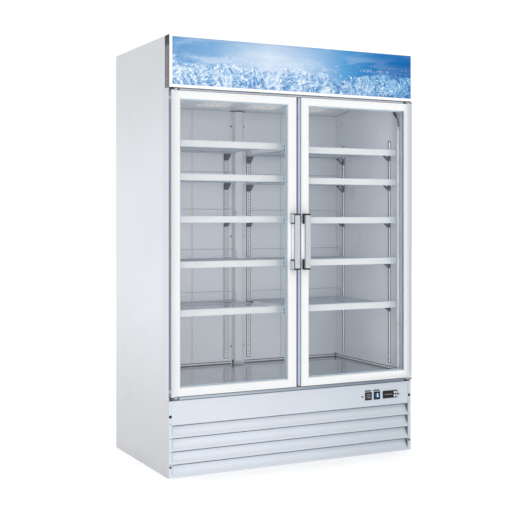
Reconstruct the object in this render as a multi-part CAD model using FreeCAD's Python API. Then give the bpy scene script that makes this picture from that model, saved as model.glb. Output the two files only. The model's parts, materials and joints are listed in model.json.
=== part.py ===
import FreeCAD, Part
import math
import os
from FreeCAD import Vector as V

# Two-door glass door merchandiser, in millimetres.
# +X is to the right of a person facing the doors, the doors face -Y and +Z is up.
# The origin is on the floor, under the centre of the whole cabinet with its handles.

# ---------------------------------------------------------------- driving sizes
width = 1350.0              # cabinet, side to side
height = 2046.0             # floor to the top of the sign box
front_y = -337.5            # front edge of the side panels and face of the kick panel
back_y = 397.5              # rear edges of the side panels
back_inset = 4.0            # rear skin sits this far inside those edges
door_proud = 20.0           # doors and sign stand this far in front of front_y
sheet = 1.2                 # outer sheet metal
liner = 1.0                 # inner liner sheet
side_wall = 45.0            # outer face to inner face of an insulated side
rear_wall = 60.0
kick_height = 356.0
kick_sheet = 1.5
sign_height = 243.0
sign_depth = 62.0
sign_border = (12.0, 13.0, 9.0)     # sides, foot, top
seam = 0.8                  # open joint between neighbouring panels

floor_z = 405.0             # top of the floor pan
cabin_top = 1985.0          # underside of the insulated roof
ceiling_rear_z = 1784.0     # ceiling panel where it meets the back
ceiling_front_z = 1825.0
foam_floor_z = 354.0
jamb_y = front_y + 24.0     # face that the door gaskets close on
jamb_depth = 22.0
post_depth = 46.0           # centre post, from the jamb's face to its back
header_thick = 20.0         # insulated wall behind the sign box

door_top = 1788.0
door_bottom = 378.0
door_margin = 8.0           # cabinet side to door edge
door_gap = 26.0             # between the two doors
door_thick = 38.0
stile_face = 45.0
rail_low = 40.0             # face of the bottom rail
rail_high = 37.0
glass_recess = 10.0         # door face to glass
pane = 4.0
glass_cavity = 12.0
glass_edge = 12.0           # how far the glass runs into the frame
gasket_width = 14.0
gasket_inset = 14.0
gasket_thick = 5.3

hinge_in = 10.0             # hinge axis from the door's outer edge
hinge_back = 8.0            # hinge axis behind the door's face
pin_r = 5.0
pin_clear = 0.05
pin_reach = 12.0            # pin length inside the door

handle_low = 949.0
handle_high = 1222.0
handle_x = (16.5, 42.5)
post_x = (20.0, 46.5)       # stand-offs behind the bar
cover_thick = 3.5
handle_stand = 40.0         # front of the bar from the door's face
bar_thick = 12.0
post_tall = 50.0

louver_tops = (243.5, 184.5, 123.5, 62.5)
louver_tall = 54.0
louver_depth = 32.0
louver_half = 656.0

shelf_tops = ((1569.0, 1556.0), (1410.0, 1402.0), (1210.0, 1205.0),     # left bay, right bay
              (996.0, 994.0), (768.0, 766.0))
shelf_x = (33.0, 627.0)
shelf_front = front_y + 60.0
shelf_rear = front_y + 650.0
lip_tall = 32.0
guard_y = shelf_rear - 37.0   # wire guard near the back of a shelf
guard_tall = 51.0
rod_z = -16.5               # middle of a shelf's rods, from the top of its lip
wire_pitch = 25.0

pilaster_x = 68.5
pilaster_wide = 18.0
pilaster_z = (440.0, 1600.0)
pilaster_thick = 3.0
slot_pitch = 12.7
slot_wide = 12.0
slot_tall = 5.0
side_pilaster_d = (129.0, 592.0)

column_half = 44.0          # outer edge of the duct's flanges
column_base = 32.5
column_face = 24.5
column_depth = 22.0
column_sheet = 1.5
column_screw_x = 38.5

# ---------------------------------------------------------------- derived places
half = width / 2
door_y = front_y - door_proud
door_back = door_y + door_thick
sign_z = height - sign_height
sign_back = door_y + sign_depth
inner_x = half - side_wall
inner_y = back_y - rear_wall
jamb_back = jamb_y + jamb_depth
door_outer = half - door_margin
door_inner = door_gap / 2
axis_x = door_outer - hinge_in
axis_y = door_y + hinge_back
glass_y = door_y + glass_recess
bar_y = door_y - handle_stand
leaf_x = half - 6.0         # inner face of the corner trim's nose
skin_y = back_y - back_inset
header_back = jamb_back + header_thick


def box(x, y, z):
    """A block from three (low, high) pairs."""
    return Part.makeBox(x[1] - x[0], y[1] - y[0], z[1] - z[0], V(x[0], y[0], z[0]))


def cyl(r, start, direction, length):
    return Part.makeCylinder(r, length, V(*start), V(*direction))


def mirrored(shape):
    """The same piece on the other side of the cabinet."""
    return shape.mirror(V(0, 0, 0), V(1, 0, 0))


def both(shape):
    return [shape, mirrored(shape)]


def joined(shapes):
    return shapes[0].multiFuse(shapes[1:]).removeSplitter()


def save(name, pieces):
    shape = pieces if isinstance(pieces, Part.Shape) else Part.makeCompound(pieces)
    bad = [s for s in shape.Solids if not s.isValid() or s.Volume <= 0]
    if bad or not shape.Solids:
        raise ValueError(name + " is not made of sound solids")
    shape.exportStep("parts/" + name + ".step")
    print(name, len(shape.Solids), round(shape.Volume / 1000.0, 1), "cm3")


def prism_x(points, x0, x1):
    """A (y, z) outline run along X."""
    wire = Part.makePolygon([V(x0, y, z) for y, z in points] + [V(x0, *points[0])])
    return Part.Face(wire).extrude(V(x1 - x0, 0, 0))


def prism_y(points, y0, y1):
    """An (x, z) outline run along Y."""
    ring = [V(x, y0, z) for x, z in points]
    wire = Part.makePolygon(ring + [ring[0]])
    return Part.Face(wire).extrude(V(0, y1 - y0, 0))


def prism_z(points, z0, z1):
    """An (x, y) outline run along Z."""
    ring = [V(x, y, z0) for x, y in points]
    wire = Part.makePolygon(ring + [ring[0]])
    return Part.Face(wire).extrude(V(0, 0, z1 - z0))


def frustum(front, back, y0, y1):
    """A straight-sided taper between two (x0, x1, z0, z1) rectangles facing Y."""
    wires = []
    for (x0, x1, z0, z1), y in ((front, y0), (back, y1)):
        corners = [V(x0, y, z0), V(x1, y, z0), V(x1, y, z1), V(x0, y, z1)]
        wires.append(Part.makePolygon(corners + [corners[0]]))
    return Part.makeLoft(wires, True, True)


def mitred(ring, x, z, y, inner_xz):
    """Cut a rectangular ring into its four lengths, from each outer corner to the inner one."""
    reach = 1.5
    ix, iz = [[a + reach * (b - a) for a, b in zip(outer, inner)]
              for outer, inner in zip((x, z), inner_xz)]
    outlines = [
        [(x[0], z[0]), (x[1], z[0]), (ix[1], iz[0]), (ix[0], iz[0])],
        [(x[0], z[1]), (x[1], z[1]), (ix[1], iz[1]), (ix[0], iz[1])],
        [(x[0], z[0]), (ix[0], iz[0]), (ix[0], iz[1]), (x[0], z[1])],
        [(x[1], z[0]), (ix[1], iz[0]), (ix[1], iz[1]), (x[1], z[1])],
    ]
    return [ring.common(prism_y(outline, *y)).Solids[0] for outline in outlines]


def inset(x, z, by):
    return (x[0] + by, x[1] - by), (z[0] + by, z[1] - by)


# ---------------------------------------------------------------- outer shell
def side_panel():
    """Left outer skin, notched for the sign box and for the corner trim."""
    x_skin = (-half, -half + sheet)
    skin = box(x_skin, (front_y, back_y), (0, height))
    notch = box(x_skin, (front_y, sign_back + seam), (sign_z, height))
    trim = box(x_skin, (front_y, front_y + 60), (kick_height, sign_z))
    y = (front_y + kick_sheet + 0.1, front_y + kick_sheet + 0.1 + sheet)
    flange = box((-half + sheet, -half + 16), y, (0, kick_height - 4))
    return joined([skin.cut(notch).cut(trim), flange])


def corner_trim():
    """Left front corner: an outer leaf with a nose that the door closes beside."""
    z = (kick_height + seam, sign_z - seam)
    leaf = box((-half, -half + sheet), (front_y, front_y + 60 - seam), z)
    nose = box((-half, -leaf_x), (front_y, jamb_y), z)
    return joined([leaf, nose])


def rear_panel():
    """Back skin with rows of air slots behind the machine compartment."""
    skin = box((-half + sheet + 0.2, half - sheet - 0.2), (skin_y - sheet, skin_y),
               (0, height - sheet))
    slots = []
    for row in range(9):
        for column in range(8):
            x = -560 + column * 105.0
            z = 70 + row * 24.0
            slots.append(box((x, x + 80), (skin_y - sheet - 1, skin_y + 1), (z, z + 8)))
    outlet = cyl(12.2, (560, skin_y - sheet - 1, 52), (0, 1, 0), sheet + 2)
    return skin.cut(Part.makeCompound(slots)).cut(outlet)


def roof_panel():
    return box((-half + sheet + 0.2, half - sheet - 0.2), (sign_back + seam, back_y),
               (height - sheet, height))


def base_tray():
    """Bottom plate of the machine compartment with a raised rim and two runners."""
    x = (-half + sheet + 0.2, half - sheet - 0.2)
    y = (front_y + louver_depth + 4, skin_y - sheet - 0.2)
    plate = box(x, y, (0, 3))
    rims = [box(x, (y[0], y[0] + 2), (0, 28)), box(x, (y[1] - 2, y[1]), (0, 28))]
    runners = [box((cx - 25, cx + 25), (y[0] + 40, y[1] - 40), (3, 9)) for cx in (-420, 420)]
    return joined([plate] + rims + runners)


def insulation():
    """Foam slabs of the two sides, back, floor, roof and the header behind the sign."""
    side_x = (-half + sheet, -inner_x - liner)
    core_x = (-inner_x - liner, inner_x + liner)
    back = (inner_y + liner, skin_y - sheet)
    top = height - sheet
    side = box(side_x, (jamb_back, back[1]), (foam_floor_z, top))
    return both(side) + [
        box(core_x, back, (foam_floor_z, top)),
        box(core_x, (jamb_back, back[0]), (foam_floor_z, floor_z - liner)),
        box(core_x, (header_back, back[0]), (cabin_top + liner, top)),
        box((-inner_x, inner_x), (jamb_back, header_back), (sign_z, top)),
    ]


def louver(top):
    """One slanted slat, deep at its top and flush at its foot, with its end walls."""
    foot = top - louver_tall
    y = front_y
    slat = prism_x([(y, foot - 1), (y + 1.6, foot - 1), (y + louver_depth, top - 5),
                    (y + louver_depth - 1.6, top - 5), (y, foot + 1.5)],
                   -louver_half, louver_half)
    wall = prism_x([(y, foot - 1), (y + louver_depth, top - 5), (y + louver_depth, top + 2),
                    (y, top + 2)], -louver_half - 1.5, -louver_half)
    return [slat] + both(wall)


def control_cutouts():
    holes = [box((x[0] + 2, x[1] - 2), (front_y - 1, front_y + 4), (280, 314)) for x in switch_x]
    body = box((controller_x[0] + 3, controller_x[1] - 3), (front_y - 1, front_y + 4), (280, 313))
    return holes + [body]


def kick_panel():
    """Front cover of the machine compartment: four louvers and the control cut-outs."""
    x = (-half + sheet + 0.3, half - sheet - 0.3)
    z = (1, kick_height)
    face = box(x, (front_y, front_y + kick_sheet), z)
    ledge = box(x, (front_y, jamb_y - 0.5), (kick_height - kick_sheet, kick_height))
    windows = [box((-louver_half, louver_half), (front_y - 1, front_y + 2), (top - louver_tall, top))
               for top in louver_tops]
    plate = joined([face.cut(Part.makeCompound(windows + control_cutouts())), ledge])
    slats = [piece for top in louver_tops for piece in louver(top)]
    return joined([plate] + slats)


# ---------------------------------------------------------------- door opening
def jamb_frame():
    """Stiles, header and sill of the door opening, as four lengths."""
    y = (jamb_y, jamb_back)
    z = (kick_height, sign_z)
    stile = box((-leaf_x, -inner_x - liner), y, z)
    header = box((-inner_x - liner, inner_x + liner), y, (1752, z[1]))
    sill = box((-inner_x - liner, inner_x + liner), y, (z[0], floor_z - liner))
    return both(stile) + [header, sill]


def mullion():
    """Centre post: a front plate that both gaskets meet, and a narrower body."""
    z = (floor_z - liner, 1752)
    plate = box((-44, 44), (jamb_y, jamb_y + 4), z)
    rib = box((-5.5, 5.5), (jamb_y - 3, jamb_y), (z[0] + 20, z[1] - 20))
    body = box((-26, 26), (jamb_y + 4, jamb_y + post_depth), (floor_z, z[1]))
    return joined([plate, rib, body])


# ---------------------------------------------------------------- inside
def liner_walls():
    """Inner side, roof and back sheets, one solid each."""
    y = (jamb_back, inner_y)
    side = box((-inner_x - liner, -inner_x), y, (floor_z, cabin_top))
    roof = box((-inner_x, inner_x), (header_back, inner_y), (cabin_top, cabin_top + liner))
    return both(side) + [roof] + rear_sheets()


def rear_sheets():
    """Three sheets of the back wall with open seams between them."""
    y = (inner_y, inner_y + liner)
    z = (floor_z, cabin_top)
    outer = box((-inner_x, -276), y, z)
    return [outer, box((-274, 274), y, z), mirrored(outer)]


def floor_pan():
    return box((-inner_x - liner, inner_x + liner), (jamb_back, inner_y), (floor_z - liner, floor_z))


def floor_trims():
    """Folded strips where the floor meets the back and the sides, and corner blocks."""
    tall = 15.0
    side = prism_y([(-inner_x, floor_z), (-inner_x + 9, floor_z), (-inner_x + 1, floor_z + tall),
                    (-inner_x, floor_z + tall)], jamb_back + 10, inner_y - 10)
    rear = prism_x([(inner_y, floor_z), (inner_y, floor_z + tall), (inner_y - 1, floor_z + tall),
                    (inner_y - 9, floor_z)], -inner_x + 10, -column_half - 1)
    block = box((-inner_x, -inner_x + 10), (inner_y - 10, inner_y), (floor_z, floor_z + 19))
    return both(side) + both(rear) + both(block)


def centre_column():
    """Hat-shaped air duct down the middle of the back wall."""
    z = (floor_z + 14, ceiling_rear_z - 4)
    t = column_sheet
    right = [(column_face, column_depth), (column_base, t), (column_half, t), (column_half, 0),
             (column_base - 1, 0), (column_face - 1, column_depth - t)]
    left = [(-x, depth) for x, depth in reversed(right)]
    return prism_z([(x, inner_y - depth) for x, depth in right + left], *z)


def column_fasteners():
    heads = []
    for z in (1700, 1100, 500):
        for x in (-column_screw_x, column_screw_x):
            heads.append(cyl(3.2, (x, inner_y - column_sheet, z), (0, -1, 0), 2.2))
    return heads


def slotted_strip(low, high):
    """A pilaster in its own frame: a strip on the XZ plane, slotted along its length."""
    strip = box((-pilaster_wide / 2, pilaster_wide / 2), (-pilaster_thick, 0), (low, high))
    count = int((high - low - 20) / slot_pitch)
    slots = [box((-slot_wide / 2, slot_wide / 2), (-pilaster_thick - 1, 1),
                 (low + 10 + i * slot_pitch, low + 10 + slot_tall + i * slot_pitch))
             for i in range(count)]
    return strip.cut(Part.makeCompound(slots))


def placed(shape, x, y, turn):
    copy = shape.copy()
    copy.rotate(V(0, 0, 0), V(0, 0, 1), turn)
    copy.translate(V(x, y, 0))
    return copy


def pilasters():
    rear = slotted_strip(*pilaster_z)
    pieces = [placed(rear, x, inner_y, 0) for x in (-pilaster_x, pilaster_x)]
    for d in side_pilaster_d:
        pieces.append(placed(rear, -inner_x, front_y + d, 90))
        pieces.append(placed(rear, inner_x, front_y + d, -90))
    return pieces


def bracket():
    """Shelf clip bent from strip along -Y: a level arm and a brace, its top at z = 0."""
    x = (-11, 11)
    outer = prism_x([(0, 0), (-40, 0), (-40, -4), (-4, -36), (0, -36)], *x)
    return outer.cut(prism_x([(-3, -3), (-36, -3), (-3, -32.5)], *x))


def post_clip():
    """Right-hand clip on the back of the centre post, its seat at z = 0 under the wires."""
    seat = box((4, 48), (0, 18), (-2.5, 0))
    web = prism_y([(4, 0), (40, 0), (40, -6), (26, -24), (4, -24)], 0, 2.5)
    return joined([seat, web])


def shelf_brackets():
    pieces = []
    for tops in shelf_tops:
        for side, top in zip((-1, 1), tops):
            level = [placed(bracket(), side * (inner_x - pilaster_thick), front_y + d, -90 * side)
                     for d in side_pilaster_d]
            level.append(placed(bracket(), side * pilaster_x, inner_y - pilaster_thick, 0))
            for piece in level:
                piece.translate(V(0, 0, top + rod_z - 3.5))
            clip = post_clip() if side > 0 else mirrored(post_clip())
            clip.translate(V(0, jamb_y + post_depth, top + rod_z + 2.1))
            pieces += level + [clip]
    return pieces


def shelf_parts():
    """Right-hand shelf with its lip's top at z = 0: welded deck, price lip, rear guard."""
    x0, x1 = shelf_x
    rods = [cyl(3, (x0 + 3, y, rod_z), (1, 0, 0), x1 - x0 - 6)
            for y in (shelf_front + 6, shelf_front + 200, shelf_rear - 200, guard_y, shelf_rear - 4)]
    count = int((x1 - x0 - 12) / wire_pitch) + 1
    start = (x0 + x1 - (count - 1) * wire_pitch) / 2
    wires = [cyl(1.6, (start + i * wire_pitch, shelf_front + 3.2, rod_z + 4.2), (0, 1, 0),
                 shelf_rear - shelf_front - 3.2) for i in range(count)]
    deck = joined(rods + wires)
    lip = joined([
        box((x0, x1), (shelf_front, shelf_front + 2), (-lip_tall, 0)),
        box((x0, x1), (shelf_front, shelf_front + 14), (-2, 0)),
        box((x0, x1), (shelf_front, shelf_front + 9), (-lip_tall, -lip_tall + 2)),
    ])
    return [deck, lip, rear_guard(x0 + 2, x1 - 2, guard_y, rod_z + 3)]


def rear_guard(x0, x1, y, z):
    """Wire hoop that stops goods sliding off the back of a shelf."""
    r = 25.0
    top = z + guard_tall
    s = r * (1 - math.sqrt(0.5))
    edges = [
        Part.LineSegment(V(x0, y, z), V(x0, y, top - r)),
        Part.Arc(V(x0, y, top - r), V(x0 + s, y, top - s), V(x0 + r, y, top)),
        Part.LineSegment(V(x0 + r, y, top), V(x1 - r, y, top)),
        Part.Arc(V(x1 - r, y, top), V(x1 - s, y, top - s), V(x1, y, top - r)),
        Part.LineSegment(V(x1, y, top - r), V(x1, y, z)),
    ]
    path = Part.Wire([edge.toShape() for edge in edges])
    section = Part.Wire([Part.Circle(V(x0, y, z), V(0, 0, 1), 2.0).toShape()])
    return path.makePipeShell([section], True, False)


# ---------------------------------------------------------------- cold air unit
def ceiling_panel():
    """Bent sheet under the evaporator: low at the back, sweeping up to the front."""
    y0 = inner_y
    bend = front_y + 450
    rear = V(-inner_x, y0, ceiling_rear_z)
    mid = V(-inner_x, y0 - 105, ceiling_rear_z + 15)
    end = V(-inner_x, bend, ceiling_front_z)
    front = V(-inner_x, header_back, ceiling_front_z)
    up = V(0, 0, liner)
    lower = [Part.Arc(rear, mid, end).toShape(), Part.LineSegment(end, front).toShape()]
    upper = [Part.LineSegment(front + up, end + up).toShape(),
             Part.Arc(end + up, mid + up, rear + up).toShape()]
    sides = [Part.LineSegment(front, front + up).toShape(),
             Part.LineSegment(rear + up, rear).toShape()]
    wire = Part.Wire(lower + [sides[0]] + upper + [sides[1]])
    return Part.Face(wire).extrude(V(2 * inner_x, 0, 0))


def air_grilles():
    """Slotted return-air plates under the flat part of the ceiling panel."""
    plate = box((110, 400), (-60, 90), (ceiling_front_z - 3, ceiling_front_z))
    slots = [box((125, 385), (y, y + 7), (ceiling_front_z - 4, ceiling_front_z + 1))
             for y in range(-45, 80, 15)]
    return both(plate.cut(Part.makeCompound(slots)))


def evaporator_coil():
    """Finned block between two end plates."""
    core = box((-290, 290), (20, 150), (1845, 1965))
    ends = [box((x, x + 2), (15, 155), (1840, 1970)) for x in (-292, 290)]
    gaps = [box((-285 + i * 12, -276 + i * 12), (16, 60), (1844, 1966)) for i in range(48)]
    return joined([core.cut(Part.makeCompound(gaps))] + ends)


evaporator_fans = ((-150.0, 1905.0), (150.0, 1905.0))
evaporator_fan_y = 225.0
condenser_fan_at = (-200.0, 150.0)
condenser_fan_y = -130.0
shaft_r = 3.0


def fan(x, y, z, radius, blades):
    """Hub and pitched blades on an axis along Y, bored for the motor shaft."""
    hub_r = radius * 0.27
    hub = cyl(hub_r, (0, -9, 0), (0, 1, 0), 18)
    pieces = [hub]
    for i in range(blades):
        blade = box((hub_r - 2, radius), (-0.8, 0.8), (-radius * 0.22, radius * 0.22))
        blade.rotate(V(0, 0, 0), V(1, 0, 0), 32)
        blade.rotate(V(0, 0, 0), V(0, 1, 0), 360.0 * i / blades)
        pieces.append(blade)
    bore = cyl(shaft_r + pin_clear, (0, -10, 0), (0, 1, 0), 20)
    whole = joined(pieces).common(cyl(radius, (0, -40, 0), (0, 1, 0), 80)).cut(bore)
    whole.translate(V(x, y, z))
    return whole


def fan_motor(x, y, z, radius, back):
    """Motor body, shaft through the hub, and three ring-mount arms; back is +1 or -1."""
    start = y + back * 12
    direction = (0, back, 0)
    body = cyl(21, (x, start, z), direction, 45)
    shaft = cyl(shaft_r, (x, y - back * 8, z), direction, 22)
    ring = cyl(radius + 10, (x, start + back * 20, z), direction, 4)
    ring = ring.cut(cyl(radius + 4, (x, start + back * 19, z), direction, 6))
    arms = []
    for i in range(3):
        arm = box((x, x + radius + 6), (y + back * 32, y + back * 36) if back > 0 else (y - 36, y - 32),
                  (z - 4, z + 4))
        arm.rotate(V(x, y, z), V(0, 1, 0), 120.0 * i + 30)
        arms.append(arm)
    return joined([body, shaft, ring] + arms)


# ---------------------------------------------------------------- sign
sign_tube_at = (door_y + 34, sign_z + sign_height / 2)


def sign_frame():
    """White front surround, mitred into four lengths, with its channels and rear sheet."""
    x = (-half, half)
    z = (sign_z, height)
    y = (door_y, door_y + 5.5)
    sides, foot, top = sign_border
    window_x, window_z = (x[0] + sides, x[1] - sides), (z[0] + foot, z[1] - top)
    ring = box(x, y, z).cut(box(window_x, (door_y - 1, door_y + 6), window_z))
    channel_x = (-half + 3, half - 3)
    channels = [box(channel_x, (door_y + 5.5, sign_back), (z[0], z[0] + 2)),
                box(channel_x, (door_y + 5.5, sign_back), (z[1] - 2, z[1]))]
    lengths = mitred(ring, x, z, y, (window_x, window_z))
    rear = box((-half + 4, half - 4), (sign_back - 2, sign_back), (sign_z + 2.2, height - 2.2))
    rails = [joined([lengths[0], channels[0]]), joined([lengths[1], channels[1]])]
    return rails + lengths[2:] + [rear]


def sign_graphic():
    """Printed translucent panel behind the surround."""
    return box((-half + 4, half - 4), (door_y + 5.5, door_y + 8.5), (sign_z + 3, height - 3))


def sign_tube():
    return cyl(13, (-602, *sign_tube_at), (1, 0, 0), 1204)


def sign_tube_holders():
    y, z = sign_tube_at
    return [box((x, x + 18), (y - 14, sign_back - 2), (z - 16, z + 16)) for x in (-620, 602)]


def sign_end_caps():
    """Plastic ends of the sign box, each with a separate clip over its upper corner."""
    x = (-half, -half + 3)
    y = (door_y + 5.5, sign_back)
    split = height - 50
    return both(box(x, y, (sign_z, split))) + both(box(x, y, (split, height)))


# ---------------------------------------------------------------- lamps
tube_at = (inner_x - 8.5, front_y + 34.0)
tube_z = (430.0, 1652.0)
post_tube_at = (37.0, jamb_y + 18.5)
tube_r = 6.0


def lamp_places():
    spots = []
    for x, y in (tube_at, post_tube_at):
        spots += [(-x, y), (x, y)]
    return spots


def lamp_tubes():
    """Four upright cabin tubes and the long one behind the sign."""
    length = tube_z[1] - tube_z[0]
    upright = [cyl(tube_r, (x, y, tube_z[0]), (0, 0, 1), length) for x, y in lamp_places()]
    return upright + [sign_tube()]


def lamp_fittings():
    """End caps on the tubes, the clips that carry them and the sign's tube holders."""
    pieces = sign_tube_holders()
    for x, y in lamp_places():
        pieces.append(cyl(tube_r + 0.8, (x, y, tube_z[0] - 22), (0, 0, 1), 22))
        pieces.append(cyl(tube_r + 0.8, (x, y, tube_z[1]), (0, 0, 1), 22))
        side = 1 if x > 0 else -1
        wall = inner_x + liner if abs(x) > 300 else 26
        for z in (640, 1060, 1480):
            ring = cyl(tube_r + 1.5, (x, y, z), (0, 0, 1), 14).cut(
                cyl(tube_r, (x, y, z), (0, 0, 1), 14))
            low, high = sorted((abs(x) - tube_r - 1 if wall == 26 else abs(x) + tube_r + 1, wall))
            foot = box((low, high), (y - 5, y + 5), (z, z + 14))
            pieces.append(joined([ring, foot if side > 0 else mirrored(foot)]))
    return pieces


lead_r = 2.5
lead_points = ((598.0, -262.0, 1824.5), (600.0, -263.0, 1794.0), (606.0, -280.0, 1762.0),
               (tube_at[0] - 2, -299.0, 1712.0), (*tube_at, tube_z[1] + 22.5))


def cord_path(points):
    """Straight runs joined by tangent arcs, each as large as its two runs allow."""
    knots = [V(*p) for p in points]
    edges = []
    at = knots[0]
    length = 0.0
    for i in range(1, len(knots) - 1):
        before = (knots[i - 1] - knots[i])
        after = (knots[i + 1] - knots[i])
        reach = 0.45 * min(before.Length, after.Length)
        turn = math.pi - before.getAngle(after)
        radius = reach / math.tan(turn / 2)
        before.normalize()
        after.normalize()
        start = knots[i] + before * reach
        end = knots[i] + after * reach
        inward = (before + after).normalize()
        middle = knots[i] + inward * (radius / math.cos(turn / 2) - radius)
        edges += [Part.LineSegment(at, start).toShape(), Part.Arc(start, middle, end).toShape()]
        length += (start - at).Length + radius * turn
        print("lead bend radius", round(radius, 1), "turn", round(math.degrees(turn), 1))
        at = end
    edges.append(Part.LineSegment(at, knots[-1]).toShape())
    length += (knots[-1] - at).Length
    return Part.Wire(edges), length


def lamp_lead():
    """Black lead from the ceiling into the top cap of the right-hand side lamp."""
    path, length = cord_path(lead_points)
    start = V(*lead_points[0])
    heading = V(*lead_points[1]) - start
    section = Part.Wire([Part.Circle(start, heading, lead_r).toShape()])
    tube = path.makePipeShell([section], True, False)
    expected = math.pi * lead_r ** 2 * length
    print("lead length", round(length, 1), "volume ratio", round(tube.Volume / expected, 4))
    return tube


# ---------------------------------------------------------------- doors, as the right-hand one
door_x = (door_inner, door_outer)
door_z = (door_bottom, door_top)


def sight(grow):
    """The glazed opening of the frame, grown on all four sides."""
    return ((door_x[0] + stile_face - grow, door_x[1] - stile_face + grow),
            (door_z[0] + rail_low - grow, door_z[1] - rail_high + grow))


def hinge_bores():
    r = pin_r + pin_clear
    return [cyl(r, (axis_x, axis_y, door_bottom - 1), (0, 0, 1), pin_reach + 3),
            cyl(r, (axis_x, axis_y, door_top - pin_reach - 2), (0, 0, 1), pin_reach + 3)]


def door_frame():
    """Four mitred lengths with a glazing groove, a face line and a bevelled inner edge."""
    y = (door_y, door_back)
    ring = box(door_x, y, door_z)
    ox, oz = sight(0)
    opening = box(ox, (y[0] - 1, y[1] + 1), oz)
    gx, gz = sight(glass_edge + 0.5)
    groove = box(gx, (glass_y, glass_y + 2 * pane + glass_cavity), gz)
    bx, bz = sight(5)
    bevel = frustum(bx + bz, ox + oz, y[0], y[0] + 4)
    lx, lz = inset(door_x, door_z, 9)
    mx, mz = inset(door_x, door_z, 10.2)
    line = box(lx, (y[0], y[0] + 0.8), lz).cut(box(mx, (y[0] - 1, y[0] + 2), mz))
    tools = [opening, groove, bevel, line] + hinge_bores()
    for tool in tools:
        ring = ring.cut(tool)
    return mitred(ring, door_x, door_z, y, (ox, oz))


def door_glass():
    gx, gz = sight(glass_edge)
    rear = glass_y + pane + glass_cavity
    return [box(gx, (glass_y, glass_y + pane), gz), box(gx, (rear, rear + pane), gz)]


def glass_spacer():
    """Edge bars that hold the two panes apart, as four lengths."""
    gx, gz = sight(glass_edge)
    y = (glass_y + pane, glass_y + pane + glass_cavity)
    wx, wz = sight(-5)
    ring = box(gx, y, gz).cut(box(wx, (y[0] - 1, y[1] + 1), wz))
    return mitred(ring, gx, gz, y, (wx, wz))


def door_gasket():
    ox, oz = inset(door_x, door_z, gasket_inset)
    ix, iz = inset(ox, oz, gasket_width)
    y = (door_back, door_back + gasket_thick)
    ring = box(ox, y, oz).cut(box(ix, (y[0] - 1, y[1] + 1), iz))
    return mitred(ring, ox, oz, y, (ix, iz))


def handle_bar():
    """Flat pull with softly rounded long edges."""
    x0, x1 = handle_x
    bar = box((x0, x1), (bar_y, bar_y + bar_thick), (handle_low + 4, handle_high - 4))
    edges = [e for e in bar.Edges
             if abs(e.tangentAt(0).z) > 0.99 and e.CenterOfMass.y < bar_y + 1]
    return bar.makeFillet(3.0, edges)


def handle_posts():
    """Two dark stand-offs behind the bar."""
    y = (bar_y + bar_thick, door_y)
    spans = ((handle_low, handle_low + post_tall), (handle_high - post_tall, handle_high))
    lip = (handle_x[1], post_x[1])
    return [joined([box(post_x, y, span), box(lip, (bar_y + 0.5, y[1]), span)]) for span in spans]


def handle_covers():
    """Light covers on the hinge side of the stand-offs."""
    x = (post_x[1], post_x[1] + cover_thick)
    y = (bar_y + 0.5, door_y)
    spans = ((handle_low + 3, handle_low + post_tall - 6), (handle_high - post_tall + 6, handle_high - 3))
    return [box(x, y, span) for span in spans]


def handle_end_caps():
    x0, x1 = handle_x
    y = (bar_y + 0.5, bar_y + bar_thick)
    return [box((x0, x1), y, (handle_low, handle_low + 4)),
            box((x0, x1), y, (handle_high - 4, handle_high))]


# ---------------------------------------------------------------- hinges
def hinge_bracket(top):
    """Right-hand plate with its pin and the leaf that is screwed to the jamb."""
    if top:
        plate_z, leaf_z = (door_top + 3, door_top + 9), (door_top + 3, sign_z - 0.5)
        pin_z = door_top - pin_reach
    else:
        plate_z, leaf_z = (door_bottom - 9, door_bottom - 3), (kick_height + 0.5, door_bottom - 3)
        pin_z = door_bottom - 3
    plate = box((axis_x - 22, leaf_x - 0.5), (axis_y - 7, jamb_y), plate_z)
    leaf = box((axis_x - 60, leaf_x - 0.5), (jamb_y - 3, jamb_y), leaf_z)
    pin = cyl(pin_r, (axis_x, axis_y, pin_z), (0, 0, 1), pin_reach + 3)
    return joined([plate, leaf, pin])


def hinge_washers():
    pieces = []
    for z in (door_top + 0.4, door_bottom - 2.7):
        disc = cyl(9.5, (axis_x, axis_y, z), (0, 0, 1), 2.3)
        pieces += both(disc.cut(cyl(pin_r, (axis_x, axis_y, z - 1), (0, 0, 1), 5)))
    return pieces


# ---------------------------------------------------------------- controls
switch_x = ((395.0, 434.0), (447.0, 484.0))
switch_z = (276.0, 316.0)
rocker_half = (14.0, 14.5)      # half width, half height
rocker_tilt = 8.0
pivot_y = front_y + 0.5
controller_x = (502.0, 589.0)
controller_z = (277.5, 315.5)
button_x = (571.0, 582.0)
button_z = (288.0, 305.0)


def switch_housing(x):
    """Bezel and body of a rocker switch with the pocket that the rocker tilts in."""
    cx, cz = sum(x) / 2, sum(switch_z) / 2
    flange = box(x, (front_y - 2.5, front_y), switch_z)
    body = box((x[0] + 2.5, x[1] - 2.5), (front_y, front_y + 22), (switch_z[0] + 4.5, switch_z[1] - 4.5))
    w, h = rocker_half
    pocket = box((cx - w - 0.4, cx + w + 0.4), (front_y - 3, front_y + 9), (cz - h - 1, cz + h + 1))
    pivot = cyl(1.5 + pin_clear, (cx - w - 2.2, pivot_y, cz), (1, 0, 0), 2 * w + 4.4)
    return joined([flange, body]).cut(pocket).cut(pivot)


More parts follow.
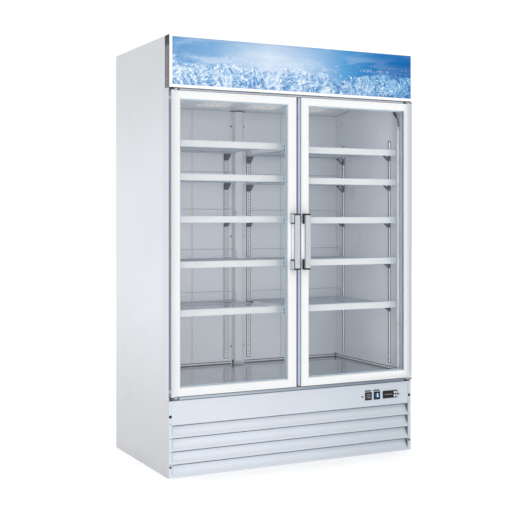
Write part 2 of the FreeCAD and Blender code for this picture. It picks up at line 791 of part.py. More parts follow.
def rocker(x):
    """Two-position rocker, pressed in at its upper half."""
    cx, cz = sum(x) / 2, sum(switch_z) / 2
    w, h = rocker_half
    rise = h * math.tan(math.radians(rocker_tilt))
    outline = [(-2.4, 0), (-2.4 - rise, h), (3, h - 0.5), (4, 0), (3, -h + 0.5), (-2.4 - rise, -h)]
    paddle = prism_x([(pivot_y + y, cz + z) for y, z in outline], cx - w, cx + w)
    pivot = cyl(1.5, (cx - w - 2, pivot_y, cz), (1, 0, 0), 2 * w + 4)
    whole = joined([paddle, pivot])
    whole.rotate(V(cx, pivot_y, cz), V(1, 0, 0), -rocker_tilt)
    return whole


def controller_body():
    """Temperature controller: bezel and body with four button wells, and its dark lens."""
    bezel = box(controller_x, (front_y - 4, front_y), controller_z)
    body = box((controller_x[0] + 3.5, controller_x[1] - 3.5), (front_y, front_y + 40), (280.5, 312.5))
    window = box((controller_x[0] + 5, 562), (front_y - 5, front_y - 3.2), (282.5, 310.5))
    wells = [box((x - 5.2, x + 5.2), (front_y - 5, front_y - 0.5), (z - 7.4, z + 7.4))
             for x in button_x for z in button_z]
    lens = box((controller_x[0] + 5, 562), (front_y - 3.8, front_y - 3.2), (282.5, 310.5))
    return [joined([bezel, body]).cut(Part.makeCompound([window] + wells)), lens]


def controller_button(x, z):
    return box((x - 4.9, x + 4.9), (front_y - 5, front_y - 2), (z - 7.1, z + 7.1))


# ---------------------------------------------------------------- fasteners
def black_plugs():
    plugs = []
    for x in (-half + 10.5, half - 10.5):
        plugs.append(cyl(7, (x, front_y, 284), (0, -1, 0), 1.6))
    return plugs


def steel_screws():
    """Pan-head screws of the kick panel, controls, sign ends, corner trims and back."""
    heads = []
    for x in (-half + 10.5, half - 10.5):
        heads.append(cyl(5, (x, front_y, 51), (0, -1, 0), 2))
        for z in (250, 182, 122, 62):
            heads.append(cyl(2, (x, front_y, z), (0, -1, 0), 0.8))
    for x in (379, 598):
        heads.append(cyl(4, (x, front_y, 295), (0, -1, 0), 1.8))
    for z in (60, 340, 700, 1100, 1500, 1900):
        heads += both(cyl(4.5, (half - 14, skin_y, z), (0, 1, 0), 1.8))
    return heads


def end_cap_screws():
    """Small bright screws in the sign's ends and at the foot of each corner trim."""
    heads = []
    for z in (height - 45, height - 203):
        heads += both(cyl(3.4, (half, door_y + 33, z), (1, 0, 0), 1.2))
    return heads + both(cyl(3, (half, front_y + 43, door_bottom + 12), (1, 0, 0), 0.8))


# ---------------------------------------------------------------- machine compartment
compressor_at = (330.0, 80.0)


def compressor():
    """Welded steel shell with domed ends, its start box and four rubber feet."""
    x, y = compressor_at
    body = cyl(82, (x, y, 60), (0, 0, 1), 110)
    crown = Part.makeSphere(110, V(x, y, 95)).common(cyl(82, (x, y, 165), (0, 0, 1), 50))
    foot = Part.makeSphere(110, V(x, y, 135)).common(cyl(82, (x, y, 20), (0, 0, 1), 45))
    plate = box((x - 110, x + 110), (y - 90, y + 90), (21, 25))
    stand = [box((x + sx * 85 - 14, x + sx * 85 + 14), (y + sy * 60 - 14, y + sy * 60 + 14), (9, 21))
             for sx in (-1, 1) for sy in (-1, 1)]
    start_box = box((x - 30, x + 30), (y - 122, y - 83), (85, 150))
    return [joined([body, crown, foot, plate]), start_box] + stand


def condenser():
    """Finned block behind the louvers, with its side plates and return bends."""
    core = box((-520, 100), (-262, -206), (30, 330))
    gaps = [box((-514 + i * 12, -505 + i * 12), (-263, -240), (34, 326)) for i in range(51)]
    sides = [box((-522, -520), (-268, -200), (12, 334)), box((100, 102), (-268, -200), (12, 334))]
    return joined([core.cut(Part.makeCompound(gaps))] + sides)


def refrigerant_pipes():
    """Discharge and suction lines with bent corners."""
    x, y = compressor_at
    discharge = ((x - 60, y - 30, 190), (x - 60, y - 30, 262), (x - 100, y - 120, 262),
                 (160, -234, 262), (102.5, -234, 262))
    suction = ((x + 50, y, 196), (x + 50, y, 300), (x + 50, y + 180, 300), (x + 50, y + 180, 351))
    pipes = []
    for points, r in ((discharge, 4.0), (suction, 6.0)):
        path, length = cord_path(points)
        heading = V(*points[1]) - V(*points[0])
        section = Part.Wire([Part.Circle(V(*points[0]), heading, r).toShape()])
        pipes.append(path.makePipeShell([section], True, False))
    return pipes


def cord_gland():
    """Round outlet for the supply cord in the lower back panel."""
    nut = cyl(17, (560, skin_y, 52), (0, 1, 0), back_inset)
    stem = cyl(12, (560, skin_y - 20, 52), (0, 1, 0), 20)
    return joined([nut, stem]).cut(cyl(6, (560, skin_y - 21, 52), (0, 1, 0), 30))


# ---------------------------------------------------------------- the nodes
def shell_nodes():
    return {
        "side_panel_left": side_panel(),
        "side_panel_right": mirrored(side_panel()),
        "corner_trims": both(corner_trim()),
        "rear_panel": rear_panel(),
        "roof_panel": roof_panel(),
        "base_tray": base_tray(),
        "insulation": insulation(),
        "kick_panel": kick_panel(),
        "jamb_frame": jamb_frame(),
        "mullion": mullion(),
        "sign_frame": sign_frame(),
        "sign_graphic": sign_graphic(),
        "sign_end_caps": sign_end_caps(),
        "hinge_brackets": both(hinge_bracket(True)) + both(hinge_bracket(False)),
        "hinge_washers": hinge_washers(),
        "switch_housings": [switch_housing(x) for x in switch_x],
        "controller_body": controller_body(),
        "black_plugs": black_plugs() + column_fasteners(),
        "steel_screws": steel_screws() + end_cap_screws(),
        "cord_gland": cord_gland(),
    }


def cabin_nodes():
    nodes = {
        "liner_walls": liner_walls(),
        "floor_pan": floor_pan(),
        "floor_trims": floor_trims(),
        "centre_column": centre_column(),
        "pilasters": pilasters(),
        "shelf_brackets": shelf_brackets(),
        "ceiling_panel": [ceiling_panel()] + air_grilles(),
        "lamp_tubes": lamp_tubes(),
        "lamp_fittings": lamp_fittings(),
        "lamp_leads": both(lamp_lead()),
    }
    for number, (left_top, right_top) in enumerate(shelf_tops, 1):
        level = []
        for part in shelf_parts():
            for shape, top in ((mirrored(part), left_top), (part.copy(), right_top)):
                shape.translate(V(0, 0, top))
                level.append(shape)
        nodes["shelves_level_" + str(number)] = level
    return nodes


def machine_nodes():
    x, z = condenser_fan_at
    motors = [fan_motor(fx, evaporator_fan_y, fz, 62, -1) for fx, fz in evaporator_fans]
    nodes = {
        "evaporator_coil": evaporator_coil(),
        "condenser": condenser(),
        "compressor": compressor(),
        "refrigerant_pipes": refrigerant_pipes(),
        "fan_motors": motors + [fan_motor(x, condenser_fan_y, z, 115, 1)],
        "condenser_fan": fan(x, condenser_fan_y, z, 110, 5),
    }
    for side, (fx, fz) in zip(("left", "right"), evaporator_fans):
        nodes["evaporator_fan_" + side] = fan(fx, evaporator_fan_y, fz, 60, 5)
    return nodes


def door_nodes():
    right = {
        "door_frame": door_frame(),
        "door_glass": door_glass(),
        "glass_spacer": glass_spacer(),
        "door_gasket": door_gasket(),
        "handle": [handle_bar()] + handle_covers() + handle_posts() + handle_end_caps(),
    }
    nodes = {}
    for name, pieces in right.items():
        nodes[name + "_left"] = [mirrored(piece) for piece in pieces]
        nodes[name + "_right"] = pieces
    return nodes


def control_nodes():
    nodes = {"rocker_power": rocker(switch_x[0]), "rocker_light": rocker(switch_x[1])}
    places = [(x, z) for z in reversed(button_z) for x in button_x]
    for number, (x, z) in enumerate(places, 1):
        nodes["controller_button_" + str(number)] = controller_button(x, z)
    return nodes


os.makedirs("parts", exist_ok=True)
for group in (shell_nodes, cabin_nodes, machine_nodes, door_nodes, control_nodes):
    for node, shape in group().items():
        save(node, shape)
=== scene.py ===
import json
import math

import bmesh
import bpy
from mathutils import Matrix, Vector


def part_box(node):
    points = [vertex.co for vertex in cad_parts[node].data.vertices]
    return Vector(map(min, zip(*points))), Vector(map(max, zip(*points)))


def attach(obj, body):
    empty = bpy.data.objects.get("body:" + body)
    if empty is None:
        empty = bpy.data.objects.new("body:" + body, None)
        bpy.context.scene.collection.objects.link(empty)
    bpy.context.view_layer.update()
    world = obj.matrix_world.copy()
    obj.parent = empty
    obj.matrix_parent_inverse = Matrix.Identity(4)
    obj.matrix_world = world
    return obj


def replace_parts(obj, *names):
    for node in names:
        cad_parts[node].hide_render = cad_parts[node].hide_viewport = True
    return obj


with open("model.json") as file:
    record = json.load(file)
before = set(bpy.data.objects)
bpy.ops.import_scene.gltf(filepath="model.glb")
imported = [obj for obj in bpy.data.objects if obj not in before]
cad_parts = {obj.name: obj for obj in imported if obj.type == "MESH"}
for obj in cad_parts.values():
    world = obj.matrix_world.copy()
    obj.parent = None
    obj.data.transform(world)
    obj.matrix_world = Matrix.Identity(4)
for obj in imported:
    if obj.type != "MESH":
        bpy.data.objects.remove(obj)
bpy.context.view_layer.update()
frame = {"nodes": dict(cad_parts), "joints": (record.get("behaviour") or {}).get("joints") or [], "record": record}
nodes = frame["nodes"]


# ---------------------------------------------------------------- camera, floor and light
def camera():
    """Looks at the left front corner from chest height, with a level lens and a small drop in shift."""
    data = bpy.data.cameras.new("camera")
    data.lens = 72.2
    data.sensor_width = 36.0
    data.shift_y = -0.076
    view = bpy.data.objects.new("camera", data)
    view.location = (-2.432, -4.7405, 1.205)
    view.rotation_euler = (math.radians(90), 0, math.radians(-26.64))
    bpy.context.collection.objects.link(view)
    bpy.context.scene.camera = view


def area_light(name, place, target, size, power, color=(1, 1, 1), seen=True):
    """Soft rectangular light at a place, turned to its target."""
    data = bpy.data.lights.new(name, "AREA")
    data.shape = "RECTANGLE"
    data.size, data.size_y = size
    data.energy = power
    data.color = color
    light = bpy.data.objects.new(name, data)
    light.location = place
    light.rotation_euler = (Vector(target) - Vector(place)).to_track_quat("-Z", "Y").to_euler()
    light.visible_camera = seen
    light.visible_glossy = seen
    bpy.context.collection.objects.link(light)


def studio():
    """Even white surroundings, three soft lights and the light inside the cabin."""
    world = bpy.data.worlds.new("studio")
    world.use_nodes = True
    world.node_tree.nodes["Background"].inputs["Color"].default_value = (1, 1, 1, 1)
    world.node_tree.nodes["Background"].inputs["Strength"].default_value = 1.02
    bpy.context.scene.world = world
    bpy.context.scene.view_settings.view_transform = "Standard"
    area_light("key", (-0.2, -4.4, 3.4), (0.1, -0.3, 1.0), (3.0, 2.2), 15)
    area_light("low", (0.2, -4.6, 0.45), (0.1, -0.3, 0.3), (2.6, 0.5), 5)
    area_light("left", (-4.0, -0.2, 1.1), (-0.7, 0.0, 1.1), (1.6, 0.9), 1.6)
    # soft cabin light: a tall sheet and a dimmer short one above it, just inside each door
    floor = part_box("floor_pan")[1]
    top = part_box("pilasters")[1][2] + 0.1
    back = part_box("liner_walls")[1][1]
    inside_door, sheet_wide, upper_share = -0.255, 0.5, 0.18
    for side, color, power in ((-1, (0.985, 0.965, 0.96), 2.25), (1, (0.93, 0.95, 0.985), 1.75)):
        x = side * floor[0] / 2
        for low, high, share in ((floor[2], top, 1.0), (top - 0.15, top + 0.05, upper_share)):
            middle = (low + high) / 2
            area_light("cabin", (x, inside_door, middle), (x, back, middle), (sheet_wide, high - low),
                       power * share, color, seen=False)


# ---------------------------------------------------------------- material tools
class Surface:
    """A Principled material whose textures run in the object's own coordinates, in metres."""

    def __init__(self, name, color, roughness, metallic=0.0, **sockets):
        self.material = bpy.data.materials.new(name)
        self.material.use_nodes = True
        self.tree = self.material.node_tree
        self.shader = self.tree.nodes["Principled BSDF"]
        self.set("Base Color", (*color, 1))
        self.set("Roughness", roughness)
        self.set("Metallic", metallic)
        for socket, value in sockets.items():
            self.set(socket.replace("_", " "), value)
        self.coords = self.node("ShaderNodeTexCoord").outputs["Object"]

    def set(self, socket, value):
        self.shader.inputs[socket].default_value = value

    def node(self, kind, **settings):
        made = self.tree.nodes.new(kind)
        for name, value in settings.items():
            setattr(made, name, value)
        return made

    def link(self, out, into):
        self.tree.links.new(out, into)

    def feed(self, socket, out):
        self.link(out, self.shader.inputs[socket])

    def mapped(self, scale=(1, 1, 1), turn=(0, 0, 0), source=None):
        made = self.node("ShaderNodeMapping")
        made.inputs["Scale"].default_value = scale
        made.inputs["Rotation"].default_value = turn
        self.link(source or self.coords, made.inputs["Vector"])
        return made.outputs["Vector"]

    def noise(self, scale, detail=3.0, distortion=0.0, source=None, rough=0.5, color=False):
        made = self.node("ShaderNodeTexNoise")
        made.inputs["Scale"].default_value = scale
        made.inputs["Detail"].default_value = detail
        made.inputs["Distortion"].default_value = distortion
        made.inputs["Roughness"].default_value = rough
        self.link(source or self.coords, made.inputs["Vector"])
        return made.outputs["Color" if color else "Fac"]

    def voronoi(self, scale, feature="F1", source=None, output="Distance"):
        made = self.node("ShaderNodeTexVoronoi", feature=feature)
        made.inputs["Scale"].default_value = scale
        self.link(source or self.coords, made.inputs["Vector"])
        return made.outputs[output]

    def axis(self, name, source=None):
        made = self.node("ShaderNodeSeparateXYZ")
        self.link(source or self.coords, made.inputs["Vector"])
        return made.outputs[name]

    def span(self, value, low, high, to_low=0.0, to_high=1.0, smooth=False):
        made = self.node("ShaderNodeMapRange")
        made.interpolation_type = "SMOOTHSTEP" if smooth else "LINEAR"
        for name, number in (("From Min", low), ("From Max", high), ("To Min", to_low), ("To Max", to_high)):
            made.inputs[name].default_value = number
        self.link(value, made.inputs["Value"])
        return made.outputs["Result"]

    def math(self, operation, first, second=0.0):
        made = self.node("ShaderNodeMath", operation=operation)
        for socket, value in zip(made.inputs, (first, second)):
            if isinstance(value, (int, float)):
                socket.default_value = value
            else:
                self.link(value, socket)
        return made.outputs[0]

    def ramp(self, value, stops):
        made = self.node("ShaderNodeValToRGB")
        elements = made.color_ramp.elements
        while len(elements) < len(stops):
            elements.new(0.5)
        for element, (place, color) in zip(elements, stops):
            element.position = place
            element.color = (*color, 1)
        self.link(value, made.inputs["Fac"])
        return made.outputs["Color"]

    def mix(self, factor, first, second, mode="MIX"):
        """Blends two colours; a Mix node keeps its factor and its two colours in sockets 0, 6 and 7."""
        made = self.node("ShaderNodeMix", data_type="RGBA", blend_type=mode)
        for index, value in ((0, factor), (6, first), (7, second)):
            socket = made.inputs[index]
            if isinstance(value, tuple):
                socket.default_value = (*value, 1)
            elif isinstance(value, (int, float)):
                socket.default_value = value
            else:
                self.link(value, socket)
        return made.outputs[2]

    def bump(self, height, strength, distance):
        made = self.node("ShaderNodeBump")
        made.inputs["Strength"].default_value = strength
        made.inputs["Distance"].default_value = distance
        self.link(height, made.inputs["Height"])
        self.feed("Normal", made.outputs["Normal"])


def shade(color, factor):
    """The same colour, lighter or darker."""
    return tuple(min(1.0, c * factor) for c in color)


def painted(name, color, roughness=0.35, drift=0.05, peel=0.25, **sockets):
    """Sprayed sheet metal: slow drift of tone, an orange-peel surface and uneven gloss."""
    s = Surface(name, color, roughness, **sockets)
    s.tint = s.mix(s.span(s.noise(1.7, 4.0), 0.3, 0.7), shade(color, 1 - drift), shade(color, 1 + drift))
    s.feed("Base Color", s.tint)
    s.feed("Roughness", s.span(s.noise(9.0, 5.0), 0.3, 0.7, roughness - 0.06, roughness + 0.08))
    s.bump(s.noise(420.0, 2.0), peel, 0.0002)
    return s


def brushed(name, color, roughness=0.3, along=(1, 60, 60), metallic=1.0, **sockets):
    """Rolled or brushed metal with fine grain along one direction."""
    s = Surface(name, color, roughness, metallic, **sockets)
    grain = s.noise(9.0, 6.0, source=s.mapped(scale=along), rough=0.7)
    s.feed("Base Color", s.mix(s.span(grain, 0.3, 0.7), shade(color, 0.88), shade(color, 1.08)))
    s.feed("Roughness", s.span(s.noise(5.0, 4.0), 0.3, 0.7, roughness - 0.07, roughness + 0.1))
    s.bump(grain, 0.12, 0.0002)
    return s


def moulded(name, color, roughness=0.45, grain=700.0, **sockets):
    """Moulded plastic or rubber with a fine stipple."""
    s = Surface(name, color, roughness, **sockets)
    s.feed("Base Color", s.mix(s.span(s.noise(14.0, 4.0), 0.3, 0.7), shade(color, 0.9), shade(color, 1.1)))
    s.feed("Roughness", s.span(s.noise(40.0, 3.0), 0.3, 0.7, roughness - 0.06, roughness + 0.08))
    s.bump(s.voronoi(grain), 0.15, 0.0002)
    return s


# ---------------------------------------------------------------- the cabinet's finishes
def cabinet_paint(name, color, low, high, drift=0.03):
    """White enamel with painted shade, brightest at half height and greyer at the foot and the top, with dust at
    the foot.
    """
    s = painted(name, color, 0.34, drift)
    z = s.axis("Z")
    # painted shade: greyer towards the foot and the top, brightest at half height
    foot = s.mix(s.span(z, 0.1, 0.9, 1, 0, True), s.tint, shade(color, low))
    painted_height_shade = s.mix(s.span(z, 1.3, 2.0, 0, 1, True), foot, shade(color, high))
    dust = s.math("MULTIPLY", s.span(z, 0.0, 0.09, 0.35, 0.0, True), s.noise(30.0, 6.0))
    s.feed("Base Color", s.mix(dust, painted_height_shade, (0.42, 0.40, 0.37)))
    return s


def kick_enamel():
    """Bluish white louvered panel, in painted shade towards the control end, with painted light in the louver
    pockets.
    """
    # the colour at the control end is painted shade
    near, shaded_far = (0.650, 0.690, 0.750), (0.50, 0.55, 0.61)
    s = painted("kick_enamel", near, 0.34, 0.02)
    along = s.span(s.axis("X"), -0.5, 0.68, 0, 1, True)
    mottle = s.span(s.noise(1.7, 4.0), 0.3, 0.7, 0.97, 1.03)
    scaled = s.node("ShaderNodeVectorMath", operation="SCALE")
    s.link(s.mix(along, near, shaded_far), scaled.inputs[0])
    s.link(mottle, scaled.inputs["Scale"])
    s.feed("Base Color", scaled.outputs["Vector"])
    face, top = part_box("kick_panel")[0][1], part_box("kick_panel")[1][2]
    # painted light: the louver pockets glow to lift the shade inside them
    pocket_painted_light = s.span(s.axis("Y"), face + 0.002, face + 0.026, 0.0, 0.41)
    louvered = s.math("LESS_THAN", s.axis("Z"), top - 0.08)
    strength = s.math("MULTIPLY", louvered, s.span(along, 0, 1, 1.0, 0.55))
    s.set("Emission Color", (0.80, 0.87, 0.97, 1))
    s.feed("Emission Strength", s.math("MULTIPLY", pocket_painted_light, strength))
    return s.material


def beside_handle(s, x):
    """Masks on the door faces: a painted light patch behind each handle's bar, and a painted reflection line of
    the bar on the left door.
    """
    low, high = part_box("handle_right")
    post, clear, reflection_inset = 0.03, 0.06, 0.0085
    z = s.axis("Z")
    between_posts = s.math("MULTIPLY", s.span(z, low[2] + post, low[2] + clear, 0, 1, True),
                           s.span(z, high[2] - post, high[2] - clear, 0, 1, True))
    # painted light patch beside the bar
    near_bar = s.span(s.math("ABSOLUTE", x), high[0] + 0.012, high[0] - 0.004, 0, 1, True)
    # painted reflection of the bar on the left door's face
    off_reflection = s.math("ABSOLUTE", s.math("ADD", x, high[0] - reflection_inset))
    line = s.span(off_reflection, 0.0015, 0.0028, 0.9, 0.0)
    return s.math("MULTIPLY", between_posts, near_bar), s.math("MULTIPLY", between_posts, line)


def door_face(s, x, low, high):
    """Near-white front of the doors, with painted shade towards both hinges and at the right door's foot."""
    hinge_shade_band = 0.06
    face = s.mix(s.span(s.noise(1.7, 4.0), 0.3, 0.7), (0.785, 0.79, 0.80), (0.81, 0.815, 0.815))
    # painted shade towards both hinges
    face = s.mix(s.span(x, high[0] - hinge_shade_band, high[0], 0, 1, True), face, (0.465, 0.485, 0.515))
    face = s.mix(s.span(x, hinge_shade_band - high[0], -high[0], 0, 1, True), face, (0.66, 0.67, 0.68))
    foot = s.math("MULTIPLY", s.span(s.axis("Z"), low[2] + 0.04, low[2], 0, 1, True),
                  s.span(x, 0.1, high[0], 0.0, 0.8))
    return s.mix(foot, face, (0.58, 0.60, 0.62))


def door_enamel():
    """White door face; painted shade greys its outer and lower edges, and the edges that close on the post are
    pale with painted light.
    """
    s = painted("door_enamel", (0.83, 0.835, 0.835), 0.2, 0.01, 0.1)
    low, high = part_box("door_frame_right")
    skin = 0.0007
    x = s.axis("X")
    y = s.axis("Y")
    out = s.math("ABSOLUTE", x)
    # painted shade: the outer and lower edge faces are grey
    edge = s.math("MAXIMUM", s.math("GREATER_THAN", out, high[0] - skin),
                  s.math("GREATER_THAN", low[2] + skin, s.axis("Z")))
    # painted light patch behind the bar and painted reflection line of the bar
    glow, line = beside_handle(s, x)
    face = s.mix(line, door_face(s, x, low, high), (0.24, 0.38, 0.50))
    # painted light on the closing edges, between painted shadow lines in the front groove and deep in the gap
    closing = s.math("GREATER_THAN", low[0] + skin, out)
    painted_rim_shadows = s.math("MAXIMUM", s.math("LESS_THAN", y, low[1] + 0.008),
                       s.math("GREATER_THAN", y, high[1] - 0.005))
    pale = s.mix(painted_rim_shadows, (0.66, 0.73, 0.81), (0.17, 0.20, 0.25))
    s.feed("Base Color", s.mix(closing, s.mix(edge, face, (0.30, 0.31, 0.33)), pale))
    s.feed("Emission Color", s.mix(closing, face, (0.80, 0.88, 1.0)))
    closing_painted_light = s.math("MULTIPLY", s.math("SUBTRACT", 1.0, painted_rim_shadows), 0.22)
    s.feed("Emission Strength", s.mix(closing, s.math("MULTIPLY", glow, 0.42), closing_painted_light))
    return s.material


def standard_steel():
    """Slotted shelf standard with painted light, bright up to the top shelf's guard, and most so at the side
    walls.
    """
    s = painted("pilaster_steel", (0.90, 0.88, 0.875), 0.35)
    guard_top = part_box("shelves_level_1")[1][2]
    # painted light: the standards glow where the cabin lamps reach them
    s.set("Emission Color", (1.0, 0.955, 0.94, 1))
    below = s.span(s.axis("Z"), guard_top + 0.01, guard_top - 0.02, 0.0, 1.0, True)
    painted_light_by_place = s.span(s.math("ABSOLUTE", s.axis("X")), 0.2, 0.4, 0.07, 0.28)
    s.feed("Emission Strength", s.math("MULTIPLY", below, painted_light_by_place))
    return s.material


def shelf_enamel():
    """Pale price lip; the wire deck and the guard behind it are a greyer coat."""
    s = painted("shelf_enamel", (0.80, 0.88, 0.93), 0.3, 0.02)
    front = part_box("shelves_level_1")[0][1]
    tone = s.noise(20.0, 3.0)
    lip = s.mix(tone, (0.78, 0.86, 0.91), (0.82, 0.90, 0.95))
    wire = s.mix(tone, (0.40, 0.43, 0.48), (0.47, 0.50, 0.55))
    s.feed("Base Color", s.mix(s.span(s.axis("Y"), front + 0.014, front + 0.03, 0, 1, True), lip, wire))
    return s.material


def trim_strip():
    """Folded strip round the cabin floor: a pale slope between two dark lines, and dark corner blocks."""
    s = painted("floor_strip", (0.60, 0.57, 0.57), 0.35)
    low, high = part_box("floor_trims")
    strip_tall, lower_line, upper_line, block_wide = 0.015, 0.0045, 0.0040, 0.0101
    z = s.axis("Z")
    line = s.math("MAXIMUM", s.math("LESS_THAN", z, low[2] + lower_line),
                  s.math("GREATER_THAN", z, low[2] + strip_tall - upper_line))
    block = s.math("MULTIPLY", s.math("GREATER_THAN", s.math("ABSOLUTE", s.axis("X")), high[0] - block_wide),
                   s.math("GREATER_THAN", s.axis("Y"), high[1] - block_wide))
    stain = s.noise(30.0, 3.0)
    pale = s.mix(stain, (0.60, 0.57, 0.57), (0.72, 0.69, 0.68))
    dark = s.mix(stain, (0.045, 0.038, 0.045), (0.09, 0.075, 0.085))
    s.feed("Base Color", s.mix(s.math("MAXIMUM", line, block), pale, dark))
    return s.material


def rail_enamel():
    """Rail under the doors, paler at the far end from the controls: painted shade deepens towards them."""
    s = painted("lower_rail", (0.3, 0.36, 0.43), 0.35)
    mottle = s.noise(5.0, 3.0)
    pale = s.mix(mottle, (0.42, 0.49, 0.56), (0.50, 0.57, 0.64))
    deep = s.mix(mottle, (0.15, 0.19, 0.25), (0.19, 0.235, 0.30))
    # painted shade deepening towards the control end
    s.feed("Base Color", s.mix(s.span(s.axis("X"), -0.5, 0.45), pale, deep))
    return s.material


def fold_line():
    """Narrow fold of the kick panel, in shade at the control end."""
    s = painted("fold_line", (0.5, 0.55, 0.6), 0.4)
    shaded_far = s.math("GREATER_THAN", s.axis("X"), 0.0)
    mottle = s.noise(8.0, 3.0)
    s.feed("Base Color", s.mix(shaded_far, s.mix(mottle, (0.50, 0.55, 0.61), (0.58, 0.63, 0.69)),
                               s.mix(mottle, (0.19, 0.22, 0.27), (0.24, 0.27, 0.32))))
    return s.material


def hinge_steel():
    """Pale hinge leaf, black from its pin outwards."""
    s = painted("hinge_steel", (0.45, 0.49, 0.54), 0.35)
    pin = joint_place("door_right_hinge")[0]
    near_pin = s.math("GREATER_THAN", s.math("ABSOLUTE", s.axis("X")), pin - 0.006)
    mottle = s.noise(20.0, 4.0)
    s.feed("Base Color", s.mix(near_pin, s.mix(mottle, (0.43, 0.47, 0.52), (0.49, 0.53, 0.58)),
                               s.mix(mottle, (0.02, 0.02, 0.025), (0.04, 0.04, 0.045))))
    return s.material


def screw_metal():
    """Zinc screws; those of the kick panel and its controls are blackened."""
    s = brushed("screw_steel", (0.50, 0.51, 0.53), 0.35, (20, 20, 20))
    top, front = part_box("kick_panel")[1][2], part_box("kick_panel")[0][1]
    dark = s.math("MULTIPLY", s.math("LESS_THAN", s.axis("Z"), top),
                  s.math("LESS_THAN", s.axis("Y"), front + 0.03))
    zinc = s.mix(s.noise(60.0), (0.46, 0.47, 0.49), (0.54, 0.55, 0.57))
    s.feed("Metallic", s.span(dark, 0, 1, 1, 0))
    s.feed("Base Color", s.mix(dark, zinc, (0.015, 0.015, 0.02)))
    return s.material


def foamed_edge():
    """Yellow foamed core with open cells."""
    s = Surface("foam", (0.80, 0.70, 0.45), 0.9)
    s.feed("Base Color", s.mix(s.voronoi(220.0), (0.86, 0.76, 0.50), (0.66, 0.56, 0.34)))
    s.bump(s.voronoi(260.0), 0.5, 0.0008)
    return s.material


def sheet_glass():
    """Clear cool-tinted pane with faint wipe marks in its gloss."""
    s = Surface("door_glass", (0.30, 0.40, 0.50), 0.04, Alpha=0.035, IOR=1.5)
    s.feed("Base Color", s.mix(s.noise(2.0, 3.0), (0.27, 0.37, 0.48), (0.33, 0.43, 0.52)))
    wipes = s.noise(6.0, 5.0, 0.6, source=s.mapped(scale=(1, 1, 3)))
    s.feed("Roughness", s.span(wipes, 0.35, 0.75, 0.02, 0.08))
    return s.material


def finned():
    """Thin aluminium fins, drawn as fine light and dark lines."""
    s = brushed("fins", (0.62, 0.63, 0.65), 0.4)
    wave = s.node("ShaderNodeTexWave")
    wave.inputs["Scale"].default_value = 90.0
    s.link(s.coords, wave.inputs["Vector"])
    s.feed("Base Color", s.mix(wave.outputs["Fac"], (0.20, 0.21, 0.23), (0.68, 0.69, 0.71)))
    return s.material


def end_cap():
    """Grey plastic ends of the sign box; a painted reflection makes their upper part nearly black."""
    s = moulded("sign_end_cap", (0.20, 0.20, 0.22), 0.45, Specular_IOR_Level=0.25)
    # painted reflection: the upper part of each cap is nearly black
    upper = s.math("GREATER_THAN", s.axis("Z"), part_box("sign_frame")[1][2] - 0.05)
    mottled = s.noise(20.0, 4.0)
    grey = s.mix(mottled, (0.120, 0.118, 0.135), (0.175, 0.172, 0.190))
    s.feed("Base Color", s.mix(upper, grey, s.mix(mottled, (0.014, 0.012, 0.020), (0.022, 0.020, 0.030))))
    return s.material


def picture_sky(s, u, v):
    """Blue sky that pales left of the middle, with low streaks of cloud; u and v run over the sign."""
    sky = s.ramp(u, [(0.0, (0.11, 0.29, 0.55)), (0.16, (0.20, 0.38, 0.61)), (0.38, (0.56, 0.66, 0.78)),
                     (0.54, (0.36, 0.51, 0.70)), (0.70, (0.08, 0.29, 0.57)), (0.84, (0.0, 0.14, 0.41)),
                     (1.0, (0.0, 0.10, 0.35))])
    sky = s.mix(s.span(v, 0.7, 1.0, 0.0, 0.28), sky, (0.05, 0.24, 0.50))
    tilted = s.mapped(scale=(1.5, 1.0, 9.0), turn=(0, math.radians(9), 0))
    cloud = s.noise(2.4, 5.0, 0.35, source=tilted, rough=0.6)
    streaks = s.ramp(cloud, [(0.46, (0, 0, 0)), (0.62, (1, 1, 1))])
    band = s.math("MULTIPLY", s.span(v, 0.30, 0.70, 1.0, 0.35), streaks)
    return s.mix(s.math("MULTIPLY", band, s.span(u, 0.6, 0.95, 0.72, 0.15)), sky, (0.72, 0.80, 0.88))


